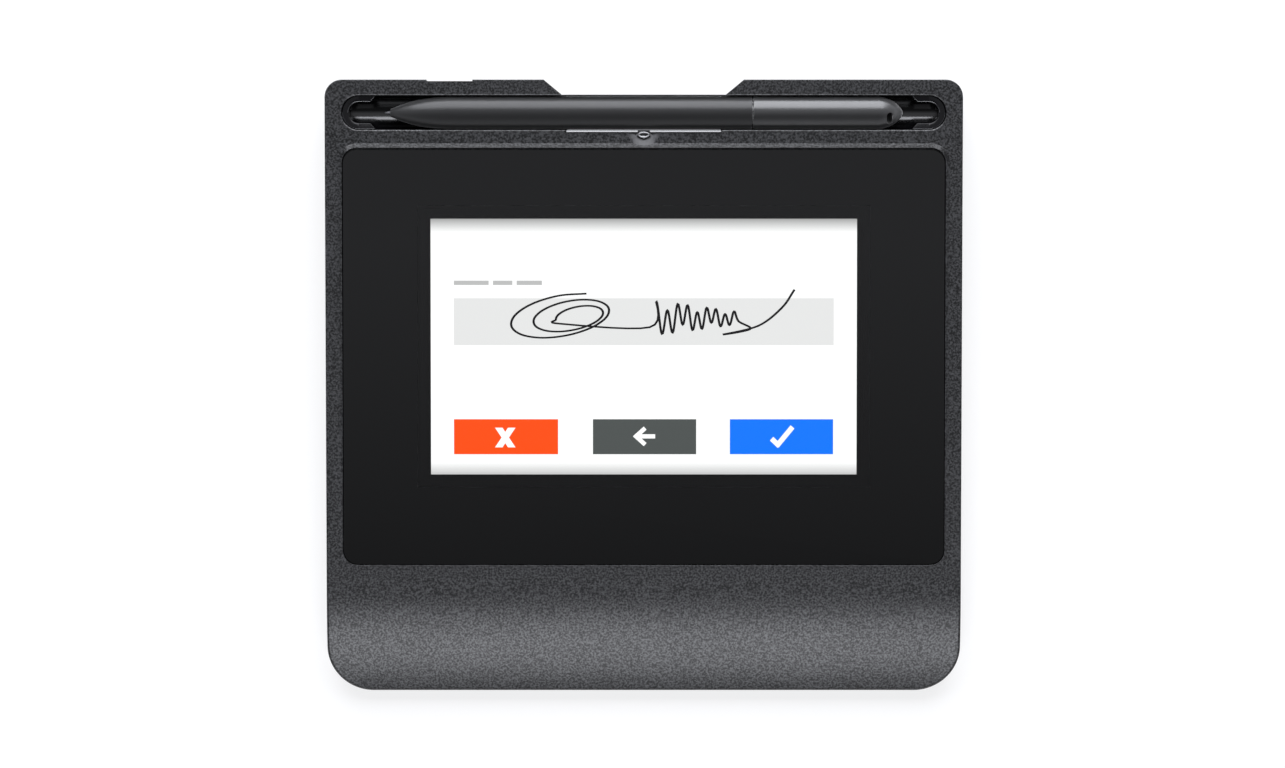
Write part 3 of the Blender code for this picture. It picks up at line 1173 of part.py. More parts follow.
def usb_socket():
    """Steel shell with its mouth in the rear opening, and the tongue inside."""
    back = USB_FRONT_Y - USB_DEPTH
    outline = rounded_rectangle(USB_WIDTH, USB_HEIGHT, USB_CORNER, BOARD_X, USB_HEIGHT_Z)
    shell = across_wall("usb_shell", outline, back, USB_FRONT_Y, "steel")
    hollow = rounded_rectangle(
        USB_WIDTH - 2 * USB_SHEET, USB_HEIGHT - 2 * USB_SHEET, USB_CORNER - USB_SHEET, BOARD_X, USB_HEIGHT_Z
    )
    cut(shell, across_wall("usb_hollow", hollow, back + USB_SHEET, USB_FRONT_Y + OVERRUN))
    inset = 2 * (USB_SHEET + SEAT_GAP)
    base = rounded_rectangle(
        USB_WIDTH - inset, USB_HEIGHT - inset, USB_CORNER - inset / 2, BOARD_X, USB_HEIGHT_Z
    )
    base_start = back + USB_SHEET + SEAT_GAP
    tongue = across_wall("usb_tongue", base, base_start, base_start + USB_BASE_LENGTH, "chip")
    blade = sharp_rectangle(USB_TONGUE_WIDTH, USB_TONGUE_HEIGHT, BOARD_X, USB_HEIGHT_Z)
    blade_end = base_start + USB_BASE_LENGTH + USB_TONGUE_LENGTH
    join(tongue, across_wall("usb_blade", blade, base_start + USB_BASE_LENGTH / 2, blade_end))


def lock_plate():
    near = HALF_LENGTH - SIDE_WALL - SEAT_GAP - LOCK_PLATE_THICKNESS
    outline = sharp_rectangle(LOCK_PLATE_WIDTH, LOCK_PLATE_HEIGHT, LOCK_X, LOCK_HEIGHT)
    plate = across_wall("lock_plate", outline, near, near + LOCK_PLATE_THICKNESS, "steel")
    slot = rounded_rectangle(LOCK_SLOT_WIDTH, LOCK_SLOT_HEIGHT, LOCK_SLOT_CORNER, LOCK_X, LOCK_HEIGHT)
    cut(plate, across_wall("lock_plate_slot", slot, near - OVERRUN, HALF_LENGTH))


def main():
    clear_scene()
    glass_plane = bpy.data.objects.new("glass_plane", None)
    bpy.context.scene.collection.objects.link(glass_plane)
    glass_plane.location = (0, GLASS_MIDDLE_Y, GLASS_MIDDLE_Z)
    glass_plane.rotation_euler = (GLASS_TILT, 0, 0)
    top_cover(glass_plane)
    bottom_cover()
    feet_and_label()
    display_stack(glass_plane)
    case_screws()
    pen_tray()
    tether_eyelet()
    main_board()
    ribbons(glass_plane)
    usb_socket()
    lock_plate()
    pen()


main()
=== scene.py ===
from math import cos, pi, radians, sin, tan

import bmesh
import bpy
from mathutils import Matrix, Vector


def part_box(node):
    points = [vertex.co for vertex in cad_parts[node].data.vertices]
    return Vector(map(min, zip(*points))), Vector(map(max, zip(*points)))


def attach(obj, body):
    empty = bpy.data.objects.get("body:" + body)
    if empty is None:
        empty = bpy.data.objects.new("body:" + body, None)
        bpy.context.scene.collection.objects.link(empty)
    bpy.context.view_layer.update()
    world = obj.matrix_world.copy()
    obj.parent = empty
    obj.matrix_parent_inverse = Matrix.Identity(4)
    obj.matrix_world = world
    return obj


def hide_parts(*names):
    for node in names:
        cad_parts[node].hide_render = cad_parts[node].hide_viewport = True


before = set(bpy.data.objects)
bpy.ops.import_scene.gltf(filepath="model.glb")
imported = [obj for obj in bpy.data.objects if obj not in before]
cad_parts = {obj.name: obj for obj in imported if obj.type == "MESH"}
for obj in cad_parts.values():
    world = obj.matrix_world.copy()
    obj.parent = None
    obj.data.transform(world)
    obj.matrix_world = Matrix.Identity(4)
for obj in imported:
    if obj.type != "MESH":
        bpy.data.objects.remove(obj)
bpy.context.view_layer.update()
mm = 0.001  # shapes are drawn in millimetres and scaled when a piece is finished
gap = 0.3  # between faces that rest on each other
overrun = 4.0  # how far a cutter runs past the face that it cuts
weld = 0.0015  # points closer than this become one
print("frame loaded,", len(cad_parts), "nodes")


def nodeBox(name):
    low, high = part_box(name)
    return low / mm, high / mm


def nodeMiddle(name):
    low, high = nodeBox(name)
    return (low + high) / 2


coverLow, coverHigh = nodeBox("top_cover")
halfWidth, halfLength, splitHeight = coverHigh.x, coverHigh.y, coverLow.z


# Drawing helpers, all in millimetres
def arcPoints(x, y, radius, start, end, steps):
    turns = [radians(start + (end - start) * i / steps) for i in range(steps + 1)]
    return [(x + radius * cos(t), y + radius * sin(t)) for t in turns]


def apart(points, least=0.003):
    # the points without those that lie on a neighbour
    kept = []
    for point in points:
        if not kept or (Vector(point) - Vector(kept[-1])).length > least:
            kept.append(point)
    if (Vector(kept[0]) - Vector(kept[-1])).length <= least:
        kept.pop()
    return kept


def roundedOutline(width, length, radius, x=0.0, y=0.0, steps=12):
    radius = min(radius, width / 2, length / 2)
    right, back = width / 2 - radius, length / 2 - radius
    corners = ((right, back, 0), (-right, back, 90), (-right, -back, 180), (right, -back, 270))
    points = []
    for cornerX, cornerY, start in corners:
        points += arcPoints(x + cornerX, y + cornerY, radius, start, start + 90, steps)
    return apart(points)


def circle(radius, x=0.0, y=0.0, steps=40):
    return arcPoints(x, y, radius, 0, 360, steps)[:-1]


def rectangle(width, length, x=0.0, y=0.0):
    right, back = width / 2, length / 2
    return [(x + right, y + back), (x - right, y + back), (x - right, y - back), (x + right, y - back)]


def outward(bm):
    bmesh.ops.recalc_face_normals(bm, faces=bm.faces[:])
    return bm


def bridge(bm, rings, material=0):
    # faces from each ring of vertices to the next
    for lower, upper in zip(rings, rings[1:]):
        for i in range(len(lower)):
            after = (i + 1) % len(lower)
            face = bm.faces.new((lower[i], lower[after], upper[after], upper[i]))
            face.material_index = material


def addRings(bm, rings):
    return [[bm.verts.new(point) for point in ring] for ring in rings]


def loft(rings):
    bm = bmesh.new()
    made = addRings(bm, rings)
    bridge(bm, made)
    bm.faces.new(made[0])
    bm.faces.new(made[-1])
    return outward(bm)


def prism(outline, low, high):
    return loft([[(x, y, z) for x, y in outline] for z in (low, high)])


def moved(bm, matrix):
    bmesh.ops.transform(bm, matrix=matrix, verts=bm.verts[:])
    return outward(bm)


def alongX(section, halfRun, x, y, z):
    turn = Matrix(((0, 0, 1), (1, 0, 0), (0, 1, 0))).to_4x4()
    return moved(prism(section, -halfRun, halfRun), Matrix.Translation((x, y, z)) @ turn)


def acrossWall(outline, near, far):
    return moved(prism(outline, -far, -near), Matrix.Rotation(radians(90), 4, "X"))


def lathe(profile, middle, steps=96, closed=False):
    # profile is (x, radius) points about a line along X
    bm = bmesh.new()
    unit = circle(1, steps=steps)
    rings = addRings(bm, [
        [(x, -s * radius, c * radius) for c, s in unit] if radius else [(x, 0, 0)] for x, radius in profile
    ])
    pairs = list(zip(rings, rings[1:]))
    if closed:
        pairs.append((rings[-1], rings[0]))
    for first, second in pairs:
        for i in range(steps):
            after = (i + 1) % steps
            corners = [first[i % len(first)], first[after % len(first)],
                       second[after % len(second)], second[i % len(second)]]
            bm.faces.new(list(dict.fromkeys(corners)))
    bmesh.ops.translate(bm, verts=bm.verts[:], vec=middle)
    return outward(bm)


def gathered(parts):
    whole = bmesh.new()
    for part in parts:
        mesh = bpy.data.meshes.new("part")
        part.to_mesh(mesh)
        part.free()
        whole.from_mesh(mesh)
        bpy.data.meshes.remove(mesh)
    return whole


def linked(name, data):
    made = bpy.data.objects.new(name, data)
    bpy.context.scene.collection.objects.link(made)
    return made


def helperObject(bm):
    mesh = bpy.data.meshes.new("helper")
    bm.to_mesh(mesh)
    bm.free()
    return linked("helper", mesh)


def plainMesh(helper):
    bpy.context.view_layer.update()
    graph = bpy.context.evaluated_depsgraph_get()
    return bpy.data.meshes.new_from_object(helper.evaluated_get(graph))


def drawnFrom(mesh):
    bm = bmesh.new()
    bm.from_mesh(mesh)
    bpy.data.meshes.remove(mesh)
    return bm


def shaped(bm, *steps):
    # steps are (operation, mesh), worked one after another
    base = helperObject(bm)
    tools = []
    for operation, tool in steps:
        tools.append(helperObject(tool))
        boolean = base.modifiers.new(operation, "BOOLEAN")
        boolean.operation = operation
        boolean.solver = "EXACT"
        boolean.object = tools[-1]
    mesh = plainMesh(base)
    for helper in [base] + tools:
        bpy.data.objects.remove(helper)
    return drawnFrom(mesh)


def without(*tools):
    return [("DIFFERENCE", tool) for tool in tools]


def joined(*tools):
    return [("UNION", tool) for tool in tools]


def finishPiece(bm, name, body, materials, replaced=(), sharpAngle=32):
    bmesh.ops.remove_doubles(bm, verts=bm.verts[:], dist=weld)
    bmesh.ops.recalc_face_normals(bm, faces=bm.faces[:])
    bmesh.ops.scale(bm, vec=(mm, mm, mm), verts=bm.verts[:])
    mesh = bpy.data.meshes.new(name)
    bm.to_mesh(mesh)
    bm.free()
    for material in materials:
        mesh.materials.append(material)
    mesh.shade_smooth()
    mesh.set_sharp_from_angle(angle=radians(sharpAngle))
    piece = linked(name, mesh)
    evenShading = piece.modifiers.new("evenShading", "WEIGHTED_NORMAL")
    evenShading.keep_sharp = True
    piece.data = plainMesh(piece)
    piece.modifiers.remove(evenShading)
    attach(piece, body)
    if replaced:
        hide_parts(*replaced)
    print("made", name, len(piece.data.polygons), "faces")


# Material helpers
def feed(tree, node, values):
    # sets each input to its value, or links the socket that it is given
    for key, value in values.items():
        if isinstance(value, bpy.types.NodeSocket):
            tree.links.new(value, node.inputs[key])
        else:
            node.inputs[key].default_value = value


def addNode(tree, kind, values=None, **settings):
    node = tree.nodes.new(kind)
    for key, value in settings.items():
        setattr(node, key, value)
    feed(tree, node, values or {})
    return node


def calculated(tree, operation, first, second=0.0, third=0.0):
    return addNode(tree, "ShaderNodeMath", {0: first, 1: second, 2: third}, operation=operation).outputs[0]


def spread(tree, value, fromLow, fromHigh, low, high):
    mapped = addNode(tree, "ShaderNodeMapRange", {
        "Value": value, "From Min": fromLow, "From Max": fromHigh, "To Min": low, "To Max": high,
    })
    return mapped.outputs["Result"]


def scaledBy(tree, vector, factor):
    # a vector or a colour times a factor
    scaled = addNode(tree, "ShaderNodeVectorMath", {0: vector, "Scale": factor}, operation="SCALE")
    return scaled.outputs[0]


def alongAxis(tree, vector, axis):
    return addNode(tree, "ShaderNodeSeparateXYZ", {0: vector}).outputs[axis]


def mixedColour(tree, factor, first, second):
    values = {"Factor": factor, 6: (*first, 1), 7: (*second, 1)}
    return addNode(tree, "ShaderNodeMix", values, data_type="RGBA").outputs[2]


grainLook = {
    "fine": {"Detail": 1.5, "Roughness": 0.55}, "wide": {"Detail": 4.0, "Roughness": 0.6, "Distortion": 0.6},
    "swing": 8.0, "darkest": 0.1, "lightest": 3.0, "smudgeSwing": 4.0, "glintEnds": (0.40, 0.62),
}


def makeGrain():
    # moulded grain: a fine texture, with larger smudges from handling
    group = bpy.data.node_groups.new("mouldedGrain", "ShaderNodeTree")
    group.interface.new_socket("Place", in_out="INPUT", socket_type="NodeSocketVector")
    for label, value in (("Grain", 0.4), ("Contrast", 0.2), ("Smudge", 15.0), ("Smudge gloss", 0.05)):
        socket = group.interface.new_socket(label, in_out="INPUT", socket_type="NodeSocketFloat")
        socket.default_value = value
    for label in ("Shade", "Height", "Gloss", "Glint"):
        group.interface.new_socket(label, in_out="OUTPUT", socket_type="NodeSocketFloat")
    given = group.nodes.new("NodeGroupInput").outputs
    result = group.nodes.new("NodeGroupOutput").inputs

    def noise(size, settings):
        scale = calculated(group, "DIVIDE", 1 / mm, given[size])
        values = {"Vector": given["Place"], "Scale": scale, **settings}
        return addNode(group, "ShaderNodeTexNoise", values).outputs["Fac"]

    def fromMiddle(value, swing):
        return calculated(group, "MULTIPLY", calculated(group, "SUBTRACT", value, 0.5), swing)

    look = grainLook
    fine, wide = noise("Grain", look["fine"]), noise("Smudge", look["wide"])
    shade = calculated(group, "MULTIPLY_ADD", fromMiddle(fine, look["swing"]), given["Contrast"], 1.0)
    shade = calculated(group, "MAXIMUM", shade, look["darkest"])
    shade = calculated(group, "MINIMUM", shade, look["lightest"])
    gloss = calculated(group, "MULTIPLY", fromMiddle(wide, look["smudgeSwing"]), given["Smudge gloss"])
    glint = spread(group, fine, *look["glintEnds"], 0.0, 1.0)
    for label, value in (("Shade", shade), ("Height", fine), ("Gloss", gloss), ("Glint", glint)):
        group.links.new(value, result[label])
    return group


grainGroup = makeGrain()


def newMaterial(name):
    material = bpy.data.materials.new(name)
    material.use_nodes = True
    tree = material.node_tree
    place = addNode(tree, "ShaderNodeTexCoord").outputs["Object"]
    return material, tree, tree.nodes["Principled BSDF"], place


def bumped(tree, height, strength, depth):
    values = {"Height": height, "Strength": strength, "Distance": depth * mm}
    return addNode(tree, "ShaderNodeBump", values).outputs["Normal"]


usualLook = {
    "smudge": 15.0, "smudgeGloss": 0.04, "stretch": None, "metallic": 0.0, "specular": 0.5, "coat": 0.0,
    "coatRoughness": 0.03, "sheen": 0.0, "sheenRoughness": 0.5, "glint": None,
}


def grainedMaterial(name, look):
    # plastic, rubber, print or metal with the moulded grain over one colour
    look = usualLook | look
    material, tree, shader, place = newMaterial(name)
    if look["stretch"]:
        place = addNode(tree, "ShaderNodeMapping", {"Vector": place, "Scale": look["stretch"]}).outputs[0]
    grain = addNode(tree, "ShaderNodeGroup", {
        "Place": place, "Grain": look["grain"], "Contrast": look["contrast"], "Smudge": look["smudge"],
        "Smudge gloss": look["smudgeGloss"],
    }, node_tree=grainGroup).outputs
    roughness = addNode(tree, "ShaderNodeMath", {
        0: grain["Gloss"], 1: look["roughness"],
    }, operation="ADD", use_clamp=True)
    coat = calculated(tree, "MULTIPLY", grain["Glint"], look["glint"]) if look["glint"] else look["coat"]
    feed(tree, shader, {
        "Base Color": scaledBy(tree, look["colour"], grain["Shade"]), "Roughness": roughness.outputs[0],
        "Normal": bumped(tree, grain["Height"], 1.0, look["depth"]), "Metallic": look["metallic"],
        "Specular IOR Level": look["specular"], "Coat Weight": coat, "Coat Roughness": look["coatRoughness"],
        "Sheen Weight": look["sheen"], "Sheen Roughness": look["sheenRoughness"],
    })
    return material


# grain, smudge and depth are in millimetres
finishes = {
    "casePlastic": dict(colour=(0.0140, 0.0142, 0.0150), roughness=0.31, grain=0.50, contrast=0.85,
                        depth=0.055, smudge=22.0, smudgeGloss=0.03, specular=0.35, glint=0.62,
                        coatRoughness=0.30),
    # smoother than the case plastic, and lighter: the lighter tone is a painted sheen on the scoop
    "smoothPlastic": dict(colour=(0.024, 0.024, 0.026), roughness=0.36, grain=0.52, contrast=0.15,
                          depth=0.006, smudge=5.0, smudgeGloss=0.03),
    "trayGloss": dict(colour=(0.002, 0.002, 0.0025), roughness=0.16, grain=0.8, contrast=0.10, depth=0.001,
                      smudge=6.0, specular=0.8),
    "clipBlack": dict(colour=(0.002, 0.002, 0.0025), roughness=0.13, grain=0.3, contrast=0.20, depth=0.0005,
                      smudge=4.0, smudgeGloss=0.02, specular=0.3),
    # lighter and glossier than the black parts it edges: partly real gloss, partly a painted highlight
    "polishedEdge": dict(colour=(0.030, 0.030, 0.033), roughness=0.20, grain=0.4, contrast=0.15, depth=0.002,
                         smudge=4.0, smudgeGloss=0.03, specular=1.0, coat=1.0),
    "penSatin": dict(colour=(0.0040, 0.0041, 0.0044), roughness=0.33, grain=0.15, contrast=0.12, depth=0.002,
                     smudge=9.0, smudgeGloss=0.03, specular=0.4, sheen=1.0),
    "tailSatin": dict(colour=(0.0040, 0.0042, 0.0046), roughness=0.30, grain=0.15, contrast=0.10, depth=0.001,
                      smudge=7.0, smudgeGloss=0.03, specular=0.9, sheen=1.0),
    "nibPlastic": dict(colour=(0.14, 0.14, 0.15), roughness=0.32, grain=0.1, contrast=0.08, depth=0.003,
                       smudge=2.0),
    "eyeletSteel": dict(colour=(0.26, 0.26, 0.265), roughness=0.38, grain=0.2, contrast=0.10, depth=0.002,
                        metallic=1.0, smudge=2.0),
    "rubber": dict(colour=(0.018, 0.018, 0.018), roughness=0.85, grain=0.35, contrast=0.25, depth=0.03,
                   smudge=8.0),
    "steel": dict(colour=(0.56, 0.56, 0.57), roughness=0.30, grain=0.25, contrast=0.06, depth=0.002,
                  metallic=1.0, stretch=(0.15, 1, 1), smudge=12.0),
    "copper": dict(colour=(0.72, 0.34, 0.17), roughness=0.32, grain=0.2, contrast=0.08, depth=0.002,
                   metallic=1.0),
    "ferrite": dict(colour=(0.055, 0.055, 0.060), roughness=0.50, grain=0.12, contrast=0.25, depth=0.006),
    "chip": dict(colour=(0.020, 0.020, 0.021), roughness=0.48, grain=0.10, contrast=0.18, depth=0.004),
    "connector": dict(colour=(0.58, 0.55, 0.46), roughness=0.50, grain=0.2, contrast=0.06, depth=0.004),
    "diffuser": dict(colour=(0.75, 0.75, 0.72), roughness=0.60, grain=0.3, contrast=0.03, depth=0.002),
    "carrier": dict(colour=(0.10, 0.10, 0.10), roughness=0.58, grain=0.3, contrast=0.10, depth=0.01),
    "tape": dict(colour=(0.022, 0.022, 0.022), roughness=0.80, grain=0.2, contrast=0.25, depth=0.02),
    "label": dict(colour=(0.52, 0.52, 0.53), roughness=0.48, grain=0.4, contrast=0.04, depth=0.001,
                  stretch=(0.1, 1, 1)),
    "borderGlass": dict(colour=(0.0004, 0.0004, 0.0004), roughness=0.03, grain=1.2, contrast=0.15, depth=0.0,
                        smudge=14.0, smudgeGloss=0.02),
    "print": dict(colour=(0.0004, 0.0004, 0.0004), roughness=0.50, grain=1.2, contrast=0.15, depth=0.0005,
                  specular=0.0),
    "penInk": dict(colour=(0.0004, 0.0004, 0.0005), roughness=0.60, grain=0.3, contrast=0.3, depth=0.001,
                   specular=0.0),
}
surfaces = {name: grainedMaterial(name, look) for name, look in finishes.items()}
print("plain finishes ready")


# The slope of the case, shared by the covers, the glass and the tray
case = {
    "wall": 2.0, "frontCorner": 11.5, "rearCorner": 4.4, "frontEdge": 1.6, "frontRound": 0.8,
    "rearRound": 0.22, "edgeTurn": 55.0, "edgeSteps": 6, "palmLength": 32.5, "palmFlat": 6.6,
    "palmPower": 2.2, "glassFront": 12.0, "glassLength": 105.0, "glassWidth": 152.2, "glassCorner": 3.5,
    "glassTilt": 2.5, "coverTilt": 3.0, "coverProud": 0.1,
}
glassFrontY = case["palmLength"] - halfLength
palmStartY = glassFrontY - case["palmFlat"]
coverSlope = tan(radians(case["coverTilt"]))
glassTilt = radians(case["glassTilt"])
glassMiddle = Vector((
    0, glassFrontY + case["glassLength"] / 2 * cos(glassTilt),
    case["glassFront"] + case["glassLength"] / 2 * sin(glassTilt),
))
glassPlane = Matrix.Translation(glassMiddle) @ Matrix.Rotation(glassTilt, 4, "X")
frontLip = splitHeight + case["frontEdge"]


def coverHeight(y):
    start = case["glassFront"] + case["coverProud"]
    height = start + (y - glassFrontY) * coverSlope
    if y < palmStartY:
        fall = start - case["palmLength"] * coverSlope - frontLip
        reach = case["palmLength"] - case["palmFlat"]
        height -= fall * ((palmStartY - y) / reach) ** case["palmPower"]
    return height


def halfOutline(inset, frontSteps=24, palmSteps=24, rearSteps=12):
    right, end = halfWidth - inset, halfLength - inset
    frontRadius = max(case["frontCorner"] - inset, gap)
    rearRadius = max(case["rearCorner"] - inset, gap)
    sideStart = frontRadius - end
    points = arcPoints(right - frontRadius, sideStart, frontRadius, -90, 0, frontSteps)
    points += [
        (right, sideStart + (palmStartY - sideStart) * i / palmSteps) for i in range(1, palmSteps + 1)
    ]
    return points + arcPoints(right - rearRadius, end - rearRadius, rearRadius, 0, 90, rearSteps)


def variedOutline(inset, **steps):
    # drawn in by an amount that varies with y
    pairs = zip(halfOutline(0, **steps), halfOutline(1, **steps))
    return [(x + (inX - x) * inset(y), y + (inY - y) * inset(y)) for (x, y), (inX, inY) in pairs]


def edgeRadius(y):
    share = (y + halfLength) / (2 * halfLength)
    return case["frontRound"] + (case["rearRound"] - case["frontRound"]) * share


def caseLoft(levels, **steps):
    # levels are (inset, height as a function of y); the caps are rungs from side to side
    bm = bmesh.new()
    outlines = []
    for inset, height in levels:
        right = variedOutline(inset, **steps) if callable(inset) else halfOutline(inset, **steps)
        outlines.append([(x, y, height(y)) for x, y in right + [(-x, y) for x, y in reversed(right)]])
    rings = addRings(bm, outlines)
    bridge(bm, rings)
    count = len(rings[0])
    for ring in (rings[0], rings[-1]):
        for i in range(count // 2 - 1):
            bm.faces.new((ring[i], ring[i + 1], ring[count - 2 - i], ring[count - 1 - i]))
    return outward(bm)


def flat(height):
    return lambda y: height


# Pen slot, finger notch and bay, which the covers and the tray share
tray = {
    "slotRadius": 4.5, "wall": 1.2, "rearRoom": 0.5, "endRoom": 0.9, "notchRear": 50.6, "notchInner": 41.4,
    "undercut": 0.1, "bayDepth": 7.0, "bayFillet": 3.0, "bayLip": 0.4, "rimLip": 0.5, "rimSlope": 14.0,
    "rimRear": ((0.0, 0.08), (0.04, 0.0)), "rimFront": ((0.06, 0.02), (0.02, 0.03), (0.0, 0.08)),
    "highlightDepth": 0.1, "highlightSlope": 0.2, "topWall": 2.0, "eyeletGap": 3.1, "endSteps": 20,
    "floorSteps": 32,
}
eyelet = {"wire": 0.27, "stem": 0.40, "steps": 48, "sides": 14, "stemSteps": 24}
outerRadius = tray["slotRadius"] + tray["wall"]
trayY = halfLength - case["wall"] - tray["rearRoom"] - outerRadius
slotHalf = halfWidth - case["wall"] - tray["endRoom"] - tray["wall"]
slotFrontY = trayY - tray["slotRadius"]
notchY = trayY + tray["slotRadius"] - tray["undercut"]
trayHeight = coverHeight(trayY - outerRadius) - tray["topWall"] - gap
bayHalf = tray["notchInner"] / 2 - tray["wall"]
eyeletLow, eyeletHigh = nodeBox("tether_eyelet")
stemY = eyeletLow.y + eyelet["wire"]


def notchShape(grow):
    inner, rear = tray["notchInner"] / 2, tray["notchRear"] / 2
    side = Vector((rear - inner, halfLength - notchY)).normalized()
    start = Vector((inner, notchY)) + Vector((side.y, -side.x)) * grow
    nearY, farY = notchY - grow, halfLength + overrun
    nearX, farX = (start.x + side.x * (y - start.y) / side.y for y in (nearY, farY))
    outline = [(-nearX, nearY), (nearX, nearY), (farX, farY), (-farX, farY)]
    return prism(outline, -overrun, coverHeight(halfLength) + overrun)


def trough(radius, halfRun, top):
    outline = roundedOutline(2 * halfRun, 2 * radius, radius, 0, trayY, tray["endSteps"])
    section = arcPoints(0, 0, radius, 180, 360, tray["floorSteps"])
    section += [(radius, top - trayHeight + overrun), (-radius, top - trayHeight + overrun)]
    body = alongX(section, halfRun + overrun, 0, trayY, trayHeight)
    return shaped(prism(outline, trayHeight - radius, top), ("INTERSECT", body))


def bayShape(grow, rearY, top):
    front, floor = slotFrontY - grow, trayHeight - tray["bayDepth"] - grow
    radius = tray["bayFillet"] + grow
    section = arcPoints(front + radius, floor + radius, radius, 180, 270, 12)
    section += [(rearY, floor), (rearY, top), (front, top)]
    return alongX(section, bayHalf + grow, 0, 0, 0)


def rimRoom(width, side, top):
    # room across the slot's front edge
    return prism(rectangle(width, 2 * side, 0, slotFrontY), trayHeight, top)


screw = {
    "head": 2.3, "headHeight": 1.3, "shaft": 1.25, "length": 6.2, "crossWidth": 0.5, "crossReach": 1.4,
    "crossDepth": 0.8, "round": 0.3, "thread": 0.12, "pitch": 0.7, "turns": 7, "plainEnd": 0.4, "point": 0.7,
    "sides": 36, "mostTurn": 90, "seed": 4,
}
screwNames = [f"case_screw_{i + 1}" for i in range(6)]
screwPlaces = [nodeMiddle(name).xy for name in screwNames]
screwHeadTop = nodeBox(screwNames[0])[0].z + screw["headHeight"]


def quarterShares(steps):
    # (1 - sine, 1 - cosine) through a quarter turn, for rounded edges
    turns = [radians(90 * i / steps) for i in range(steps + 1)]
    return [(1 - sin(turn), 1 - cos(turn)) for turn in turns]


# Top cover
topCover = {
    "ledgeTop": -2.3, "ledge": 1.5, "rimDrop": 0.7, "flare": 1.1, "boss": 3.0, "bore": 1.55,
    "bossFoot": 4.7, "earBoss": 2.4, "earBore": 1.1, "earScrew": 4.2, "earTop": -7.2, "carrierBottom": -8.5,
    "windowWidth": 124.2, "windowLength": 81.0, "windowShift": 2.8, "slotRound": 0.52,
    "slotRoundDepth": 0.28, "slotOverlap": 0.1, "rearLip": 0.17, "flareStart": 0.5, "flareBeyond": 0.15,
    "flareFoot": 0.06, "flareTurn": 0.05, "above": 0.01, "reveal": 0.18, "rearReveal": 0.5,
    "scoopRadius": 8.0, "scoopDepth": 1.7, "scoopSlope": 18.0, "scoopLength": 6.0, "scoopTolerance": 0.06,
    "portMargin": 0.7, "portCorner": 1.4, "reliefMargin": 0.6, "reliefDepth": 0.4, "lockWidth": 7.0,
    "lockHeight": 3.2, "lockCorner": 0.8, "lockRib": 1.2,
}


def recessShape():
    # the flare's upper edge follows the cover's surface, which leaves the glass slowly
    shape = topCover
    reveal, rearReveal = shape["reveal"], shape["rearReveal"]
    width, length = case["glassWidth"] + 2 * reveal, case["glassLength"] + reveal + rearReveal
    corner, back = case["glassCorner"] + reveal, (rearReveal - reveal) / 2
    inner = roundedOutline(width, length, corner, 0, back)
    outer = roundedOutline(width + 2, length + 2, corner + 1, 0, back)  # inner grown by one millimetre
    start, beyond, turn = shape["flareStart"], shape["flareBeyond"], shape["flareTurn"]
    # (growth, height), where proud is how far the cover stands above the glass
    levels = [
        (lambda proud: 0, lambda proud: shape["ledgeTop"]),
        (lambda proud: 0, lambda proud: proud * start - shape["flareFoot"]),
        (lambda proud: turn, lambda proud: proud * start),
        (lambda proud: proud, lambda proud: proud - turn),
        (lambda proud: proud + beyond, lambda proud: proud + shape["above"]),
        (lambda proud: proud + beyond, lambda proud: proud + overrun),
    ]
    rings = []
    for growth, height in levels:
        ring = []
        for (x, y), (outX, outY) in zip(inner, outer):
            place = glassPlane @ Vector((x, y, 0))
            proud = (coverHeight(place.y) - place.z) * cos(glassTilt)
            grow = growth(proud)
            ring.append((x + (outX - x) * grow, y + (outY - y) * grow, height(proud)))
        rings.append(ring)
    outline = roundedOutline(
        shape["windowWidth"], shape["windowLength"], case["glassCorner"], 0, shape["windowShift"],
    )
    window = prism(outline, shape["ledgeTop"] - shape["ledge"] - overrun, overrun)
    return [moved(loft(rings), glassPlane), moved(window, glassPlane)]


def slotShape():
    # an oval rounding, wider than it is deep
    radius, rounding, sink = tray["slotRadius"], topCover["slotRound"], topCover["slotRoundDepth"]
    inside = topCover["slotOverlap"]
    levels = [(-inside, None), (-inside, -sink)]
    for turn in (15, 30, 45, 60, 75, 90):
        angle = radians(turn)
        levels.append((rounding * (1 - cos(angle)) - inside, sink * (sin(angle) - 1) + topCover["above"]))
    levels.append((rounding - inside, overrun))
    rings = []
    for grow, height in levels:
        half = radius + grow
        ring = []
        for x, y in roundedOutline(2 * (slotHalf + grow), 2 * half, half, 0, trayY, tray["endSteps"]):
            y -= max(0.0, y - trayY) / radius * topCover["rearLip"]
            ring.append((x, y, trayHeight if height is None else coverHeight(y) + height))
        rings.append(ring)
    return loft(rings)


def scoopFrame():
    shape = topCover
    slope = radians(shape["scoopSlope"])
    low = coverHeight(slotFrontY) - shape["scoopDepth"]
    middle = Vector((0, slotFrontY, low + shape["scoopRadius"] / cos(slope)))
    return Matrix.Translation(middle) @ Matrix.Rotation(radians(90) - slope, 4, "X")


def scoopShape():
    half = topCover["scoopLength"] / 2
    return moved(prism(circle(topCover["scoopRadius"], steps=160), -half, half), scoopFrame())

def coverShell():
    turn, steps = radians(case["edgeTurn"]), case["edgeSteps"]
    levels = [(0.0, flat(splitHeight))]
    for i in range(steps + 1):
        angle = turn * (1 - i / steps)
        levels.append((
            lambda y, share=sin(turn) - sin(angle): edgeRadius(y) * share,
            lambda y, share=1 - cos(angle): coverHeight(y) - edgeRadius(y) * share,
        ))
    return caseLoft(levels)


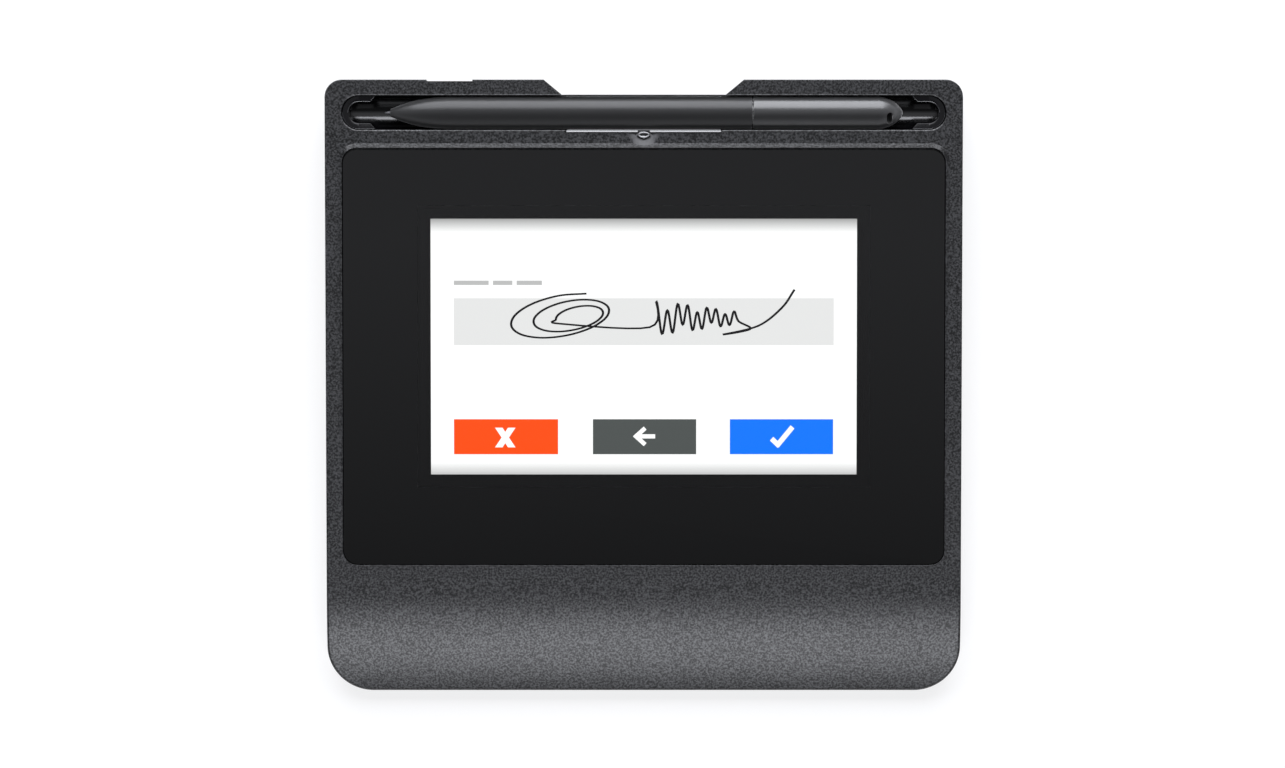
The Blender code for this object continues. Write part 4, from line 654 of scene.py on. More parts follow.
def makeTopCover():
    shape, wall = topCover, case["wall"]
    hollow = caseLoft(
        [(wall, flat(splitHeight - overrun)), (wall, lambda y: coverHeight(y) - tray["topWall"])],
        frontSteps=8, palmSteps=8, rearSteps=4,
    )
    hollow = shaped(hollow, *without(notchShape(wall)))
    ledgeBottom = shape["ledgeTop"] - shape["ledge"]
    rimLength = case["glassLength"] + 2 * shape["flare"] + wall / 2
    outline = roundedOutline(2 * halfWidth - wall, rimLength, case["glassCorner"])
    rim = moved(prism(outline, ledgeBottom, -shape["rimDrop"]), glassPlane)
    posts, bores = [], []
    for x, y in screwPlaces:
        top = coverHeight(y) - tray["topWall"] / 2
        if y > glassFrontY:
            surface = glassMiddle.z + (y - glassMiddle.y) * tan(glassTilt)
            top = surface + shape["ledgeTop"] - shape["ledge"] / 2
        posts.append(prism(circle(shape["boss"], x, y), shape["bossFoot"], top))
        end = screwHeadTop + screw["length"] + gap
        bores.append(prism(circle(shape["bore"], x, y), shape["bossFoot"] - overrun, end))
    for i in range(4):
        x, y = (glassPlane.inverted() @ nodeMiddle(f"carrier_screw_{i + 1}")).xy
        post = prism(circle(shape["earBoss"], x, y), shape["earTop"], ledgeBottom + shape["ledge"] / 2)
        posts.append(moved(post, glassPlane))
        end = shape["carrierBottom"] + shape["earScrew"]
        bore = prism(circle(shape["earBore"], x, y, 24), shape["carrierBottom"] - overrun, end)
        bores.append(moved(bore, glassPlane))
    plateLow, plateHigh = nodeBox("lock_plate")
    lockX, lockZ = (plateLow.x + plateHigh.x) / 2, (plateLow.z + plateHigh.z) / 2
    nearY, rearY, rib = plateLow.y, halfLength - wall / 2, shape["lockRib"]
    for x in (plateLow.x - gap - rib / 2, plateHigh.x + gap + rib / 2):
        outline = rectangle(rib, rearY - nearY, x, (nearY + rearY) / 2)
        posts.append(prism(outline, plateLow.z, plateHigh.z))
    roomWall = tray["wall"] + gap
    room = trough(tray["slotRadius"] + roomWall, slotHalf + roomWall, trayHeight + gap)
    bayRoom = bayShape(roomWall, notchY + overrun, trayHeight + gap)
    surface = coverHeight(trayY)
    rebate = rimRoom(2 * (bayHalf + gap), tray["rimLip"] + gap, surface + overrun)
    eyeletRoom = rimRoom(tray["eyeletGap"], slotFrontY - stemY, surface + overrun)
    stemHole = prism(circle(eyelet["stem"] + gap, 0, stemY, eyelet["stemSteps"]), surface - overrun, surface)
    usbLow, usbHigh = nodeBox("usb_shell")
    usbX, usbZ = (usbLow.x + usbHigh.x) / 2, (usbLow.z + usbHigh.z) / 2
    portWidth = usbHigh.x - usbLow.x + 2 * shape["portMargin"]
    portHeight = usbHigh.z - usbLow.z + 2 * shape["portMargin"]
    openings = [
        acrossWall(roundedOutline(*measures), halfLength - wall - gap, halfLength + overrun)
        for measures in (
            (portWidth, portHeight, shape["portCorner"], usbX, usbZ),
            (shape["lockWidth"], shape["lockHeight"], shape["lockCorner"], lockX, lockZ),
        )
    ]
    reliefY = halfLength - shape["reliefDepth"] + overrun / 2
    relief = prism(rectangle(portWidth + 2 * shape["reliefMargin"], overrun, usbX, reliefY),
                   -overrun, coverHeight(halfLength) + overrun)
    recess, window = recessShape()
    whole = shaped(
        coverShell(), *without(hollow), *joined(rim, gathered(posts)),
        *without(recess, window, slotShape(), room, bayRoom, notchShape(0.0), scoopShape(), stemHole, rebate,
                 eyeletRoom, gathered(openings), relief, gathered(bores)),
    )
    inScoop = scoopFrame().inverted()
    for face in whole.faces:
        place = inScoop @ face.calc_center_median()
        onWall = abs(place.xy.length - shape["scoopRadius"]) < shape["scoopTolerance"]
        if onWall and abs(place.z) < shape["scoopLength"] / 2:
            # the scoop's finish is also lighter than the case: a painted sheen
            face.material_index = 1  # the scoop is smooth, without the grain
    finishPiece(whole, "topCover", "case", [surfaces["casePlastic"], surfaces["smoothPlastic"]],
                ["top_cover"])


makeTopCover()


# Bottom cover
bottomCover = {
    "standoff": 1.0, "chamfer": 0.8, "chamferSteps": 4, "floor": 1.8, "lip": 1.0, "lipRise": 1.4,
    "screwSeat": 4.0, "seatRise": 1.6, "headBore": 2.6, "shaftBore": 1.55, "post": 2.2, "postRise": 1.0,
    "postBore": 1.1, "footRecess": 0.8, "labelRecess": 0.5, "labelCorner": 2.0,
}
footNames = ["foot_rear_left", "foot_rear_right", "foot_front_left", "foot_front_right"]


def makeBottomCover():
    shape, chamfer = bottomCover, bottomCover["chamfer"]
    under, floorTop = shape["standoff"], shape["standoff"] + shape["floor"]
    inFloor, seatTop = floorTop - shape["floor"] / 2, floorTop + shape["seatRise"]
    levels = [(chamfer * inward, flat(under + chamfer * up))
              for inward, up in quarterShares(shape["chamferSteps"])]
    tub = caseLoft(levels + [(0, flat(splitHeight - gap))])

    def lipTop(y):
        return min(splitHeight + shape["lipRise"], coverHeight(y) - tray["topWall"] - gap)

    def inside(inset, low, high):
        block = caseLoft([(inset, low), (inset, high)], frontSteps=10, palmSteps=8, rearSteps=5)
        return shaped(block, *without(notchShape(inset)))

    def cylinders(radius, low, high):
        return gathered([prism(circle(radius, x, y), low, high) for x, y in screwPlaces])

    lipInset = case["wall"] + gap
    lip = inside(lipInset, flat(inFloor), lipTop)
    pan = inside(lipInset + shape["lip"], flat(floorTop), flat(splitHeight + shape["lipRise"] + overrun))
    seats = cylinders(shape["screwSeat"], inFloor, seatTop)
    heads = cylinders(shape["headBore"], -overrun, floorTop)
    shafts = cylinders(shape["shaftBore"], -overrun, seatTop + overrun)
    posts, threads, recesses = [], [], []
    for i in range(4):
        low, high = nodeBox(f"board_screw_{i + 1}")
        x, y = ((low + high) / 2).xy
        posts.append(prism(circle(shape["post"], x, y), inFloor, floorTop + shape["postRise"]))
        threads.append(prism(circle(shape["postBore"], x, y, 24), low.z - gap, low.z + 2 * overrun))
    for name in footNames + ["blank_label"]:
        low, high = nodeBox(name)
        width, length = high.x - low.x + 2 * gap, high.y - low.y + 2 * gap
        x, y = ((low + high) / 2).xy
        corner, depth = length / 2, shape["footRecess"]
        if name == "blank_label":
            x, y, corner, depth = 0.0, 0.0, shape["labelCorner"], shape["labelRecess"]
        recesses.append(prism(roundedOutline(width, length, corner, x, y), -overrun, under + depth))
    whole = shaped(
        tub, *joined(lip), *without(pan, notchShape(0.0)), *joined(gathered([seats] + posts)),
        *without(heads, shafts, gathered(threads), gathered(recesses)),
    )
    finishPiece(whole, "bottomCover", "case", [surfaces["casePlastic"]], ["bottom_cover"])


makeBottomCover()


# Pen tray, its clips and the tether eyelet
def paintGlossHighlight(bm, lowest, fromSlope, toSlope=2.0, frontOnly=False):
    # the upper faces that lean this much take the second material, a lighter and glossier finish that paints
    # a highlight on them
    bm.normal_update()
    for face in bm.faces:
        turned = fromSlope < face.normal.z < toSlope and (face.normal.y < 0 or not frontOnly)
        if turned and face.calc_center_median().z > lowest:
            face.material_index = 1


def makeTray():
    body = trough(outerRadius, slotHalf + tray["wall"], trayHeight)
    floor = trayHeight - tray["bayDepth"]
    lipLength = tray["wall"] + tray["bayLip"]
    rimTop = coverHeight(slotFrontY - tray["rimLip"]) - gap
    bayBody = bayShape(tray["wall"], notchY, trayHeight)
    bayLip = prism(rectangle(2 * bayHalf, lipLength, 0, notchY + tray["bayLip"] - lipLength / 2),
                   floor - tray["wall"] / 2, floor + tray["wall"] / 2)
    # the lip's top slopes down to the pen, with rounded edges
    half, sink = tray["rimLip"] / 2, tray["rimLip"] * tan(radians(tray["rimSlope"]))
    base = trayHeight - tray["wall"]
    section = [(half, base)] + [(half - inward, rimTop - sink - drop) for inward, drop in tray["rimRear"]]
    section += [(inward - half, rimTop - drop) for inward, drop in tray["rimFront"]] + [(-half, base)]
    rim = alongX(section, bayHalf, 0, slotFrontY - half, 0)
    hollow = trough(tray["slotRadius"], slotHalf, trayHeight + overrun)
    bayHollow = bayShape(0.0, notchY + overrun, rimTop + overrun)
    rimGap = rimRoom(tray["eyeletGap"], tray["rimLip"] + overrun / 2, rimTop + overrun)
    whole = shaped(
        body, *without(notchShape(0.0)), *joined(bayBody, bayLip, rim), *without(hollow, bayHollow, rimGap),
    )
    # the rim's top takes the lighter edge finish, a painted highlight along the rim
    paintGlossHighlight(whole, rimTop - 2 * sink - tray["highlightDepth"], tray["highlightSlope"])
    finishPiece(whole, "penTray", "case", [surfaces["trayGloss"], surfaces["polishedEdge"]],
                ["pen_tray"])


clip = {
    "wall": 1.5, "arm": 4.2, "point": 1.4, "sink": 0.7, "depth": 3.0, "round": 0.13, "dish": 7.5,
    "ends": ((0.0, 1.0), (0.3, 0.3), (1.0, 0.0)), "arcSteps": 36, "highlightNormals": (0.2, 0.98),
}


def clipSection(low, top):
    # (distance from the outer face, height); the top is dished, with rounded edges
    wall, edge, shares = clip["wall"], clip["round"], quarterShares(3)
    innerTop = top - (wall - 2 * edge) * tan(radians(clip["dish"]))
    section = [(0, low)] + [(edge * inward, top - edge * down) for down, inward in shares]
    section += [(wall - edge * inward, innerTop - edge * down) for inward, down in shares]
    return section + [(wall, low)]


def makeClip(node, side):
    outer, edge = tray["slotRadius"] - gap, clip["round"]
    middle = slotHalf - tray["slotRadius"]
    top, low = coverHeight(trayY) - clip["sink"], trayHeight - clip["depth"]
    section = clipSection(low, top)

    def endRing(half, back, drop):
        ring = []
        for inset, height in section:
            along = clip["arm"] - back * edge - clip["point"] * inset / clip["wall"]
            height -= drop * edge if height > low else 0
            ring.append((side * (middle - along), trayY + half * (outer - inset), height))
        return ring

    rings = [endRing(-1, *end) for end in clip["ends"]]
    for c, s in arcPoints(0, 0, 1, 270, 90, clip["arcSteps"]):
        rings.append([(side * (middle - (outer - inset) * c), trayY + (outer - inset) * s, height)
                      for inset, height in section])
    rings += [endRing(1, *end) for end in reversed(clip["ends"])]
    room = trough(outer, slotHalf - gap, top + overrun)
    whole = shaped(loft(rings), ("INTERSECT", room))
    # the front of each rounded edge is glossier and painted lighter, a painted highlight where it faces the
    # front lamp
    paintGlossHighlight(whole, top - 2 * edge - gap, *clip["highlightNormals"], frontOnly=True)
    name = "clipLeft" if side < 0 else "clipRight"
    finishPiece(whole, name, "case", [surfaces["clipBlack"], surfaces["polishedEdge"]], [node])


def makeEyelet():
    steps, sides, wire = eyelet["steps"], eyelet["sides"], eyelet["wire"]
    middle = Vector((0, (eyeletLow.y + eyeletHigh.y) / 2, eyeletHigh.z - wire))
    halfX = (eyeletHigh.x - eyeletLow.x) / 2 - wire
    halfY = (eyeletHigh.y - eyeletLow.y) / 2 - wire
    bm = bmesh.new()
    rows = []
    for i in range(steps):
        turn = 2 * pi * i / steps
        row = []
        for j in range(sides):
            lean = 2 * pi * j / sides
            out = wire * cos(lean)
            row.append(bm.verts.new(middle + Vector((
                (halfX + out) * cos(turn), (halfY + out) * sin(turn), wire * sin(lean),
            ))))
        rows.append(row)
    for row, following in zip(rows, rows[1:] + rows[:1]):
        for j in range(sides):
            after = (j + 1) % sides
            bm.faces.new((row[j], following[j], following[after], row[after]))
    stem = prism(circle(eyelet["stem"], 0, middle.y - halfY, eyelet["stemSteps"]), eyeletLow.z, middle.z)
    whole = shaped(outward(bm), *joined(stem))
    finishPiece(whole, "tetherEyelet", "case", [surfaces["eyeletSteel"]], ["tether_eyelet"],
                sharpAngle=45)


makeTray()
makeClip("tray_clip_left", -1)
makeClip("tray_clip_right", 1)
makeEyelet()
print("tray ready")


# Cover glass, the lit display under it and what the display shows
display = {
    "activeWidth": 108.0, "activeLength": 64.8, "shift": 2.8, "windowMargin": 0.25, "glass": 1.5,
    "glassBevel": 0.12, "bevelShare": 0.3, "clearMargin": 3.0, "glassSmudge": 14.0, "glassGloss": 0.02,
    "glassRoughness": 0.03, "glassTint": (0.98, 0.99, 0.985, 1), "glassIndex": 1.5, "coatedIndex": 1.02,
    "panelTop": -2.4, "brightness": 1.12, "topShade": 3.6, "topLight": 0.36, "bottomShade": 3.2,
    "bottomLight": 0.55, "pixel": 0.135, "pixelDepth": 0.03, "pixelLine": 0.12,
}


def clearGlass(name, index):
    material, tree, shader, place = newMaterial(name)
    grain = addNode(tree, "ShaderNodeGroup", {
        "Place": place, "Smudge": display["glassSmudge"], "Smudge gloss": display["glassGloss"],
    }, node_tree=grainGroup).outputs
    roughness = calculated(tree, "ADD", grain["Gloss"], display["glassRoughness"])
    feed(tree, shader, {
        "Roughness": calculated(tree, "MAXIMUM", roughness, 0.0), "Base Color": display["glassTint"],
        "Transmission Weight": 1.0, "IOR": index,
    })
    return material


def makeGlass():
    width, length, radius = case["glassWidth"], case["glassLength"], case["glassCorner"]
    bevel, thick, share = display["glassBevel"], display["glass"], display["bevelShare"]
    rings = []
    for inset, height in (
        (bevel, -thick), (bevel * share, bevel * share - thick), (0, bevel - thick), (0, -bevel),
        (bevel * share, -bevel * share), (bevel, 0),
    ):
        outline = roundedOutline(width - 2 * inset, length - 2 * inset, radius - inset)
        rings.append([(x, y, height) for x, y in outline])
    bm = bmesh.new()
    made = addRings(bm, rings)
    bridge(bm, made, 3)  # the ground edge is black like the border
    count = len(made[0])
    quarter = count // 4
    firsts = [(q * quarter + quarter // 2) % count for q in range(4)]

    def windowed(ring, height, margin, pane, border):
        # a window with a border round it, in four pieces
        outline = rectangle(display["activeWidth"] + 2 * margin, display["activeLength"] + 2 * margin, 0,
                            display["shift"])
        corners = [bm.verts.new((x, y, height)) for x, y in outline]
        bm.faces.new(corners).material_index = pane
        for q in range(4):
            start, end = firsts[q], firsts[(q + 1) % 4]
            run = [ring[(start + i) % count] for i in range((end - start) % count + 1)]
            bm.faces.new(run + [corners[(q + 1) % 4], corners[q]]).material_index = border

    margin = display["windowMargin"]
    windowed(made[0], -thick, margin, 2, 1)
    windowed(made[-1], 0, margin + display["clearMargin"], 0, 3)
    moved(bm, glassPlane)
    # the underside of the window is coated, so that it mirrors nothing
    materials = [
        clearGlass("clearGlass", display["glassIndex"]), surfaces["print"],
        clearGlass("coatedGlass", display["coatedIndex"]), surfaces["borderGlass"],
    ]
    finishPiece(bm, "coverGlass", "case", materials, ["cover_glass"])


def panelShading(tree, place):
    # full in the lit area, and less along its front and rear edges: painted shade where the glass border's
    # depth shades the panel
    x, y = (alongAxis(tree, place, axis) for axis in ("X", "Y"))
    middle = glassMiddle.y + display["shift"] * cos(glassTilt)
    half = display["activeLength"] / 2
    rear, front = (middle + half) * mm, (middle - half) * mm
    atRear = spread(tree, y, rear - display["topShade"] * mm, rear, 1.0, display["topLight"])
    atFront = spread(tree, y, front, front + display["bottomShade"] * mm, display["bottomLight"], 1.0)
    shade = calculated(tree, "MULTIPLY", atRear, atFront)
    for along, centre, reach in ((x, 0.0, display["activeWidth"] / 2), (y, middle, half)):
        away = calculated(tree, "ABSOLUTE", calculated(tree, "SUBTRACT", along, centre * mm))
        shade = calculated(tree, "MULTIPLY", shade, calculated(tree, "LESS_THAN", away, reach * mm))
    return shade


def litSurface(name, colour, shading=None):
    # a lit area of the display, with its fine grid of pixels
    material, tree, shader, place = newMaterial(name)
    scaled = scaledBy(tree, place, 1 / (display["pixel"] * mm))
    cells = []
    for axis in ("X", "Y"):
        part = calculated(tree, "FRACT", alongAxis(tree, scaled, axis))
        cells.append(calculated(tree, "GREATER_THAN", part, display["pixelLine"]))
    bright = display["brightness"]
    glow = spread(tree, calculated(tree, "MULTIPLY", *cells), 0.0, 1.0,
                  bright * (1 - display["pixelDepth"] * 2), bright)
    if shading:
        glow = calculated(tree, "MULTIPLY", glow, shading(tree, place))
    feed(tree, shader, {
        "Emission Color": scaledBy(tree, colour, glow), "Emission Strength": 1.0,
        "Base Color": (0.001, 0.001, 0.001, 1), "Roughness": 0.6, "Specular IOR Level": 0.0,
    })
    return material


def setSurface(node, material):
    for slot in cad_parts[node].material_slots:
        slot.material = material


# what the display shows, placed from the middle of its lit area; symbols are placed from their button
shown = {
    "film": 0.04, "lift": 0.03,
    "strip": {"x": 0.0, "y": 6.25, "width": 96.3, "length": 11.9, "colour": (0.77, 0.77, 0.77)},
    "cancel": {"x": -34.95, "y": -22.95, "width": 26.4, "length": 8.9, "colour": (1.0, 0.073, 0.0)},
    "back": {"x": 0.2, "y": -22.95, "width": 26.2, "length": 8.9, "colour": (0.073, 0.082, 0.080)},
    "accept": {"x": 34.95, "y": -22.95, "width": 26.2, "length": 8.9, "colour": (0.0, 0.178, 1.0)},
    "bars": {"x": -48.1, "y": 16.1, "length": 1.1, "widths": (8.8, 4.9, 6.4), "space": 1.1,
             "colour": (0.50, 0.50, 0.50)},
    "cross": {"x": -0.2, "y": -0.2, "width": 5.2, "length": 5.0, "stroke": 1.9},
    "arrow": (((-1.9, 0.1), (2.7, 0.1)), ((-2.55, 0.45), (0.15, -2.0)), ((-2.55, -0.25), (0.15, 2.2))),
    "arrowBar": 1.08,
    "tick": (((-2.5, -0.5), (-0.5, -2.4)), ((-1.15, -2.3), (2.8, 2.5))),
    "tickBar": 1.275, "symbolColour": (1, 1, 1), "symbolLift": 0.01, "symbolStep": 0.004,
}


def onDisplay(outlines, low, high):
    # thin plates on the panel, from outlines about the middle of the lit area
    base = display["panelTop"] + shown["lift"]
    parts = []
    for outline in outlines:
        placed = [(x, y + display["shift"]) for x, y in outline]
        parts.append(moved(prism(placed, base + low, base + high), glassPlane))
    return gathered(parts)


def bar(start, end, width):
    start, end = Vector(start), Vector(end)
    side = (end - start).normalized().orthogonal() * width / 2
    return [tuple(p) for p in (start + side, start - side, end - side, end + side)]


def makeShown():
    film = shown["film"]
    setSurface("display_panel", litSurface("litPanel", (1, 1, 1), panelShading))
    for name in ("strip", "cancel", "back", "accept"):
        area = shown[name]
        plate = onDisplay([rectangle(area["width"], area["length"], area["x"], area["y"])], 0, film)
        finishPiece(plate, f"shown_{name}", "case", [litSurface(f"lit_{name}", area["colour"])])
    look = shown["bars"]
    bars, x = [], look["x"]
    for width in look["widths"]:
        bars.append(rectangle(width, look["length"], x + width / 2, look["y"]))
        x += width + look["space"]
    finishPiece(onDisplay(bars, 0, film), "shown_bars", "case",
                [litSurface("lit_bars", look["colour"])])
    cross = shown["cross"]
    x, y = shown["cancel"]["x"] + cross["x"], shown["cancel"]["y"] + cross["y"]
    front, rear = y - cross["length"] / 2, y + cross["length"] / 2
    symbols = []
    for side in (-1, 1):
        reach, stroke = side * cross["width"] / 2, side * cross["stroke"]
        foot, head = x - reach, x + reach
        symbols.append([(foot, front), (foot + stroke, front), (head, rear), (head - stroke, rear)])
    for button, symbol in (("back", "arrow"), ("accept", "tick")):
        place = Vector((shown[button]["x"], shown[button]["y"]))
        symbols += [bar(place + Vector(start), place + Vector(end), shown[f"{symbol}Bar"])
                    for start, end in shown[symbol]]
    # each bar lies a little above the last, so that crossing bars share no face
    layers = []
    for i, outline in enumerate(symbols):
        lift = shown["symbolStep"] * i
        layers.append(onDisplay([outline], film + shown["symbolLift"] + lift, 2 * film + lift))
    finishPiece(gathered(layers), "shown_symbols", "case",
                [litSurface("lit_symbols", shown["symbolColour"])])


def smoothLine(points, steps):
    # a smooth line through the points, by Catmull-Rom
    points = [Vector(p) for p in points]
    ends = [points[0] * 2 - points[1]] + points + [points[-1] * 2 - points[-2]]
    line = []
    for a, b, c, d in zip(ends, ends[1:], ends[2:], ends[3:]):
        for i in range(steps):
            t = i / steps
            line.append((2 * b + (c - a) * t + (2 * a - 5 * b + 4 * c - d) * t * t
                         + (3 * b - a - 3 * c + d) * t ** 3) / 2)
    return line + [points[-1]]


# a made-up flourish that forms no letters: nested ovals, close hatching that dies away and a rising stroke
flourish = {
    "ovals": {"x": -21.5, "y": 7.4, "halfWidth": 14.0, "halfHeight": 5.6, "turns": 2.4, "shrink": 0.62,
              "drift": 5.0, "lean": 0.16, "points": 12, "firstTurn": 60.0},
    "wave": {"start": 1.5, "end": 24.0, "y": 7.2, "height": 4.9, "swings": 19, "fade": 0.66, "tall": 1.15,
             "small": 0.6, "crowding": 0.9, "flatten": 0.8},
    "last": ((27.0, 4.4), (20.0, 3.0), (29.0, 5.2), (35.0, 9.8), (38.2, 14.4)),
    "line": 0.60, "thinShare": 0.75, "steps": 7, "lift": 0.02, "rise": 0.28, "film": 0.015,
}


def flourishPath():
    ovals, wave = flourish["ovals"], flourish["wave"]
    points = []
    count = int(ovals["points"] * ovals["turns"])
    for i in range(count + 1):
        share = i / count
        turn = radians(ovals["firstTurn"]) + 2 * pi * ovals["turns"] * share
        size = 1 - ovals["shrink"] * share
        across, up = ovals["halfWidth"] * size * cos(turn), ovals["halfHeight"] * size * sin(turn)
        middle = ovals["x"] + ovals["drift"] * share
        points.append((middle + across, ovals["y"] + up + ovals["lean"] * across))
    for i in range(wave["swings"]):
        share = i / (wave["swings"] - 1)
        size = wave["height"] * (1 - wave["fade"] * share) * (wave["tall"] if i % 3 else wave["small"])
        x = wave["start"] + (wave["end"] - wave["start"]) * share ** wave["crowding"]
        points.append((x, wave["y"] + (size if i % 2 else -size) * wave["flatten"]))
    return smoothLine(points + list(flourish["last"]), flourish["steps"])


def makeFlourish():
    path = flourishPath()
    low = display["panelTop"] + shown["lift"] + shown["film"] + flourish["lift"]
    rings = []
    for i, point in enumerate(path):
        along = (path[min(i + 1, len(path) - 1)] - path[max(i - 1, 0)]).normalized()
        thin = flourish["thinShare"]
        side = Vector((-along.y, along.x)) * (flourish["line"] * (thin + (1 - thin) * abs(along.y)) / 2)
        left, right = point + side, point - side
        # the line rises slowly along its run, so that it passes over itself without touching
        bottom = low + flourish["rise"] * i / len(path)
        top = bottom + flourish["film"]
        rings.append([(place.x, place.y + display["shift"], height)
                      for place, height in ((left, bottom), (right, bottom), (right, top), (left, top))])
    finishPiece(moved(loft(rings), glassPlane), "shown_flourish", "case", [surfaces["penInk"]])


makeGlass()
makeShown()
makeFlourish()
print("display ready")


# Pen
pen = {
    "wall": 1.0, "nibGap": 0.2, "nibTaper": 1.65, "tipRadius": 0.28, "tipTurn": 110, "nose": 14.5,
    "guide": 8.0, "funnel": 5.8,
    "noseShares": ((0, 0.24), (0.07, 0.34), (0.2, 0.525), (0.38, 0.72), (0.54, 0.84), (0.74, 0.94), (1, 1)),
    "tailEnd": 6.2,
    "tailShares": ((0, 1), (0.2, 0.95), (0.45, 0.83), (0.66, 0.67), (0.82, 0.45), (0.94, 0.25), (1, 0)),
    "leastTail": 0.05, "solidEnd": 13.5, "spigot": 7.7, "spigotBore": 2.0, "holeWidth": 1.5,
    "holeLength": 3.2, "holeInset": 3.5, "holeTurn": 30.0, "seamRound": 0.12, "seamShare": 0.3,
    "curveSteps": 5,
}


def makePen():
    barrelLow, barrelHigh = nodeBox("pen_barrel")
    nibLow, nibHigh = nodeBox("pen_nib")
    radius = (barrelHigh.z - barrelLow.z) / 2
    middle = Vector((0, trayY, (barrelHigh.z + barrelLow.z) / 2))
    nose, seam, back = barrelLow.x, barrelHigh.x, nodeBox("pen_tail")[1].x
    bore = radius - pen["wall"]
    nibRadius = (nibHigh.z - nibLow.z) / 2
    guide = nibRadius + pen["nibGap"]

    def curved(start, length, shares):
        return [(start + length * along, radius * max(share, 0.0))
                for along, share in smoothLine(shares, pen["curveSteps"])]

    def seamEdge(x, side):
        edge, part = pen["seamRound"], pen["seamRound"] * pen["seamShare"]
        return [(x + side * edge, radius), (x + side * part, radius - part), (x, radius - edge)]

    profile = curved(nose, pen["nose"], pen["noseShares"]) + seamEdge(seam, -1)
    profile += [(seam, bore), (nose + pen["guide"] + pen["funnel"], bore), (nose + pen["guide"], guide),
                (nose, guide)]
    finishPiece(lathe(profile, middle, closed=True), "penBarrel", "pen", [surfaces["penSatin"]],
                ["pen_barrel"])

    start, spigot = seam + gap, bore - gap
    profile = curved(back - pen["tailEnd"], pen["tailEnd"], pen["tailShares"])
    profile = [(back, 0.0)] + [p for p in reversed(profile) if p[1] > pen["leastTail"]]
    spigotEnd, boreEnd = seam - pen["spigot"], back - pen["solidEnd"]
    profile += seamEdge(start, 1)
    profile += [(start, spigot), (spigotEnd, spigot), (spigotEnd, pen["spigotBore"]),
                (boreEnd, pen["spigotBore"]), (boreEnd, 0.0)]
    hole = prism(roundedOutline(pen["holeWidth"], pen["holeLength"], pen["holeWidth"] / 2),
                 -radius - overrun, radius + overrun)
    place = Matrix.Translation(middle + Vector((back - pen["holeInset"], 0, 0)))
    hole = moved(hole, place @ Matrix.Rotation(radians(pen["holeTurn"]), 4, "X"))
    tail = shaped(lathe(profile, middle), *without(hole))
    finishPiece(tail, "penTail", "pen", [surfaces["tailSatin"]], ["pen_tail"])

    tip, end, tipRadius = nibLow.x, nibHigh.x, pen["tipRadius"]
    profile = [(end, 0.0), (end, nibRadius), (tip + pen["nibTaper"], nibRadius)]
    profile += arcPoints(tip + tipRadius, 0, tipRadius, pen["tipTurn"], 180, 8)[:-1] + [(tip, 0.0)]
    finishPiece(lathe(profile, middle, steps=32), "penNib", "nib", [surfaces["nibPlastic"]],
                ["pen_nib"])


makePen()
print("pen ready")


# Pieces that repeat, laid out by node trees
def treeWith(name, inputs):
    tree = bpy.data.node_groups.new(name, "GeometryNodeTree")
    tree.interface.new_socket("Geometry", in_out="INPUT", socket_type="NodeSocketGeometry")
    for label, kind in inputs:
        tree.interface.new_socket(label, in_out="INPUT", socket_type=f"NodeSocket{kind}")
    tree.interface.new_socket("Geometry", in_out="OUTPUT", socket_type="NodeSocketGeometry")
    return tree, tree.nodes.new("NodeGroupInput").outputs, tree.nodes.new("NodeGroupOutput").inputs


def closeTree(tree, result, geometry, material):
    plain = addNode(tree, "GeometryNodeRealizeInstances", {"Geometry": geometry})
    painted = addNode(tree, "GeometryNodeSetMaterial", {"Geometry": plain.outputs[0], "Material": material})
    tree.links.new(painted.outputs[0], result["Geometry"])


def repeatTree():
    # one shape set on each point of a mesh, each turned about Z by a seeded share of the largest turn
    tree, given, result = treeWith("repeatOnPoints", [
        ("Shape", "Object"), ("Most turn", "Float"), ("Seed", "Int"), ("Material", "Material"),
    ])
    points = addNode(tree, "GeometryNodeMeshToPoints", {"Mesh": given["Geometry"]}).outputs[0]
    shape = addNode(tree, "GeometryNodeObjectInfo", {"Object": given["Shape"]}).outputs["Geometry"]
    turn = addNode(tree, "FunctionNodeRandomValue", {"Seed": given["Seed"]}, data_type="FLOAT")
    tree.links.new(given["Most turn"], turn.inputs[3])
    rotation = addNode(tree, "ShaderNodeCombineXYZ", {"Z": turn.outputs[1]}).outputs[0]
    placed = addNode(tree, "GeometryNodeInstanceOnPoints", {
        "Points": points, "Instance": shape, "Rotation": rotation,
    }).outputs[0]
    closeTree(tree, result, placed, given["Material"])
    return tree


def coilTree():
    # one wire wound about X
    tree, given, result = treeWith("woundWire", [
        ("Turns", "Float"), ("Radius", "Float"), ("Run", "Float"), ("Wire", "Float"), ("Sides", "Int"),
        ("Material", "Material"),
    ])
    spiral = addNode(tree, "GeometryNodeCurveSpiral", {
        "Resolution": coil["stepsPerTurn"], "Rotations": given["Turns"], "Start Radius": given["Radius"],
        "End Radius": given["Radius"], "Height": given["Run"],
    }).outputs[0]
    section = addNode(tree, "GeometryNodeCurvePrimitiveCircle", {
        "Resolution": given["Sides"], "Radius": given["Wire"],
    }).outputs[0]
    wire = addNode(tree, "GeometryNodeCurveToMesh", {
        "Curve": spiral, "Profile Curve": section, "Fill Caps": True,
    }).outputs[0]
    laid = addNode(tree, "GeometryNodeTransform", {
        "Geometry": wire, "Rotation": (0, radians(90), 0),
    }).outputs[0]
    closeTree(tree, result, laid, given["Material"])
    return tree


def fromTree(tree, base, values):
    host = helperObject(base)
    grow = host.modifiers.new("layout", "NODES")
    grow.node_group = tree
    for item in tree.interface.items_tree:
        if item.in_out == "INPUT" and item.name in values:
            grow[item.identifier] = values[item.name]
    mesh = plainMesh(host)
    host.modifiers.remove(grow)
    bpy.data.objects.remove(host)
    return drawnFrom(mesh)


repeatOnPoints = repeatTree()


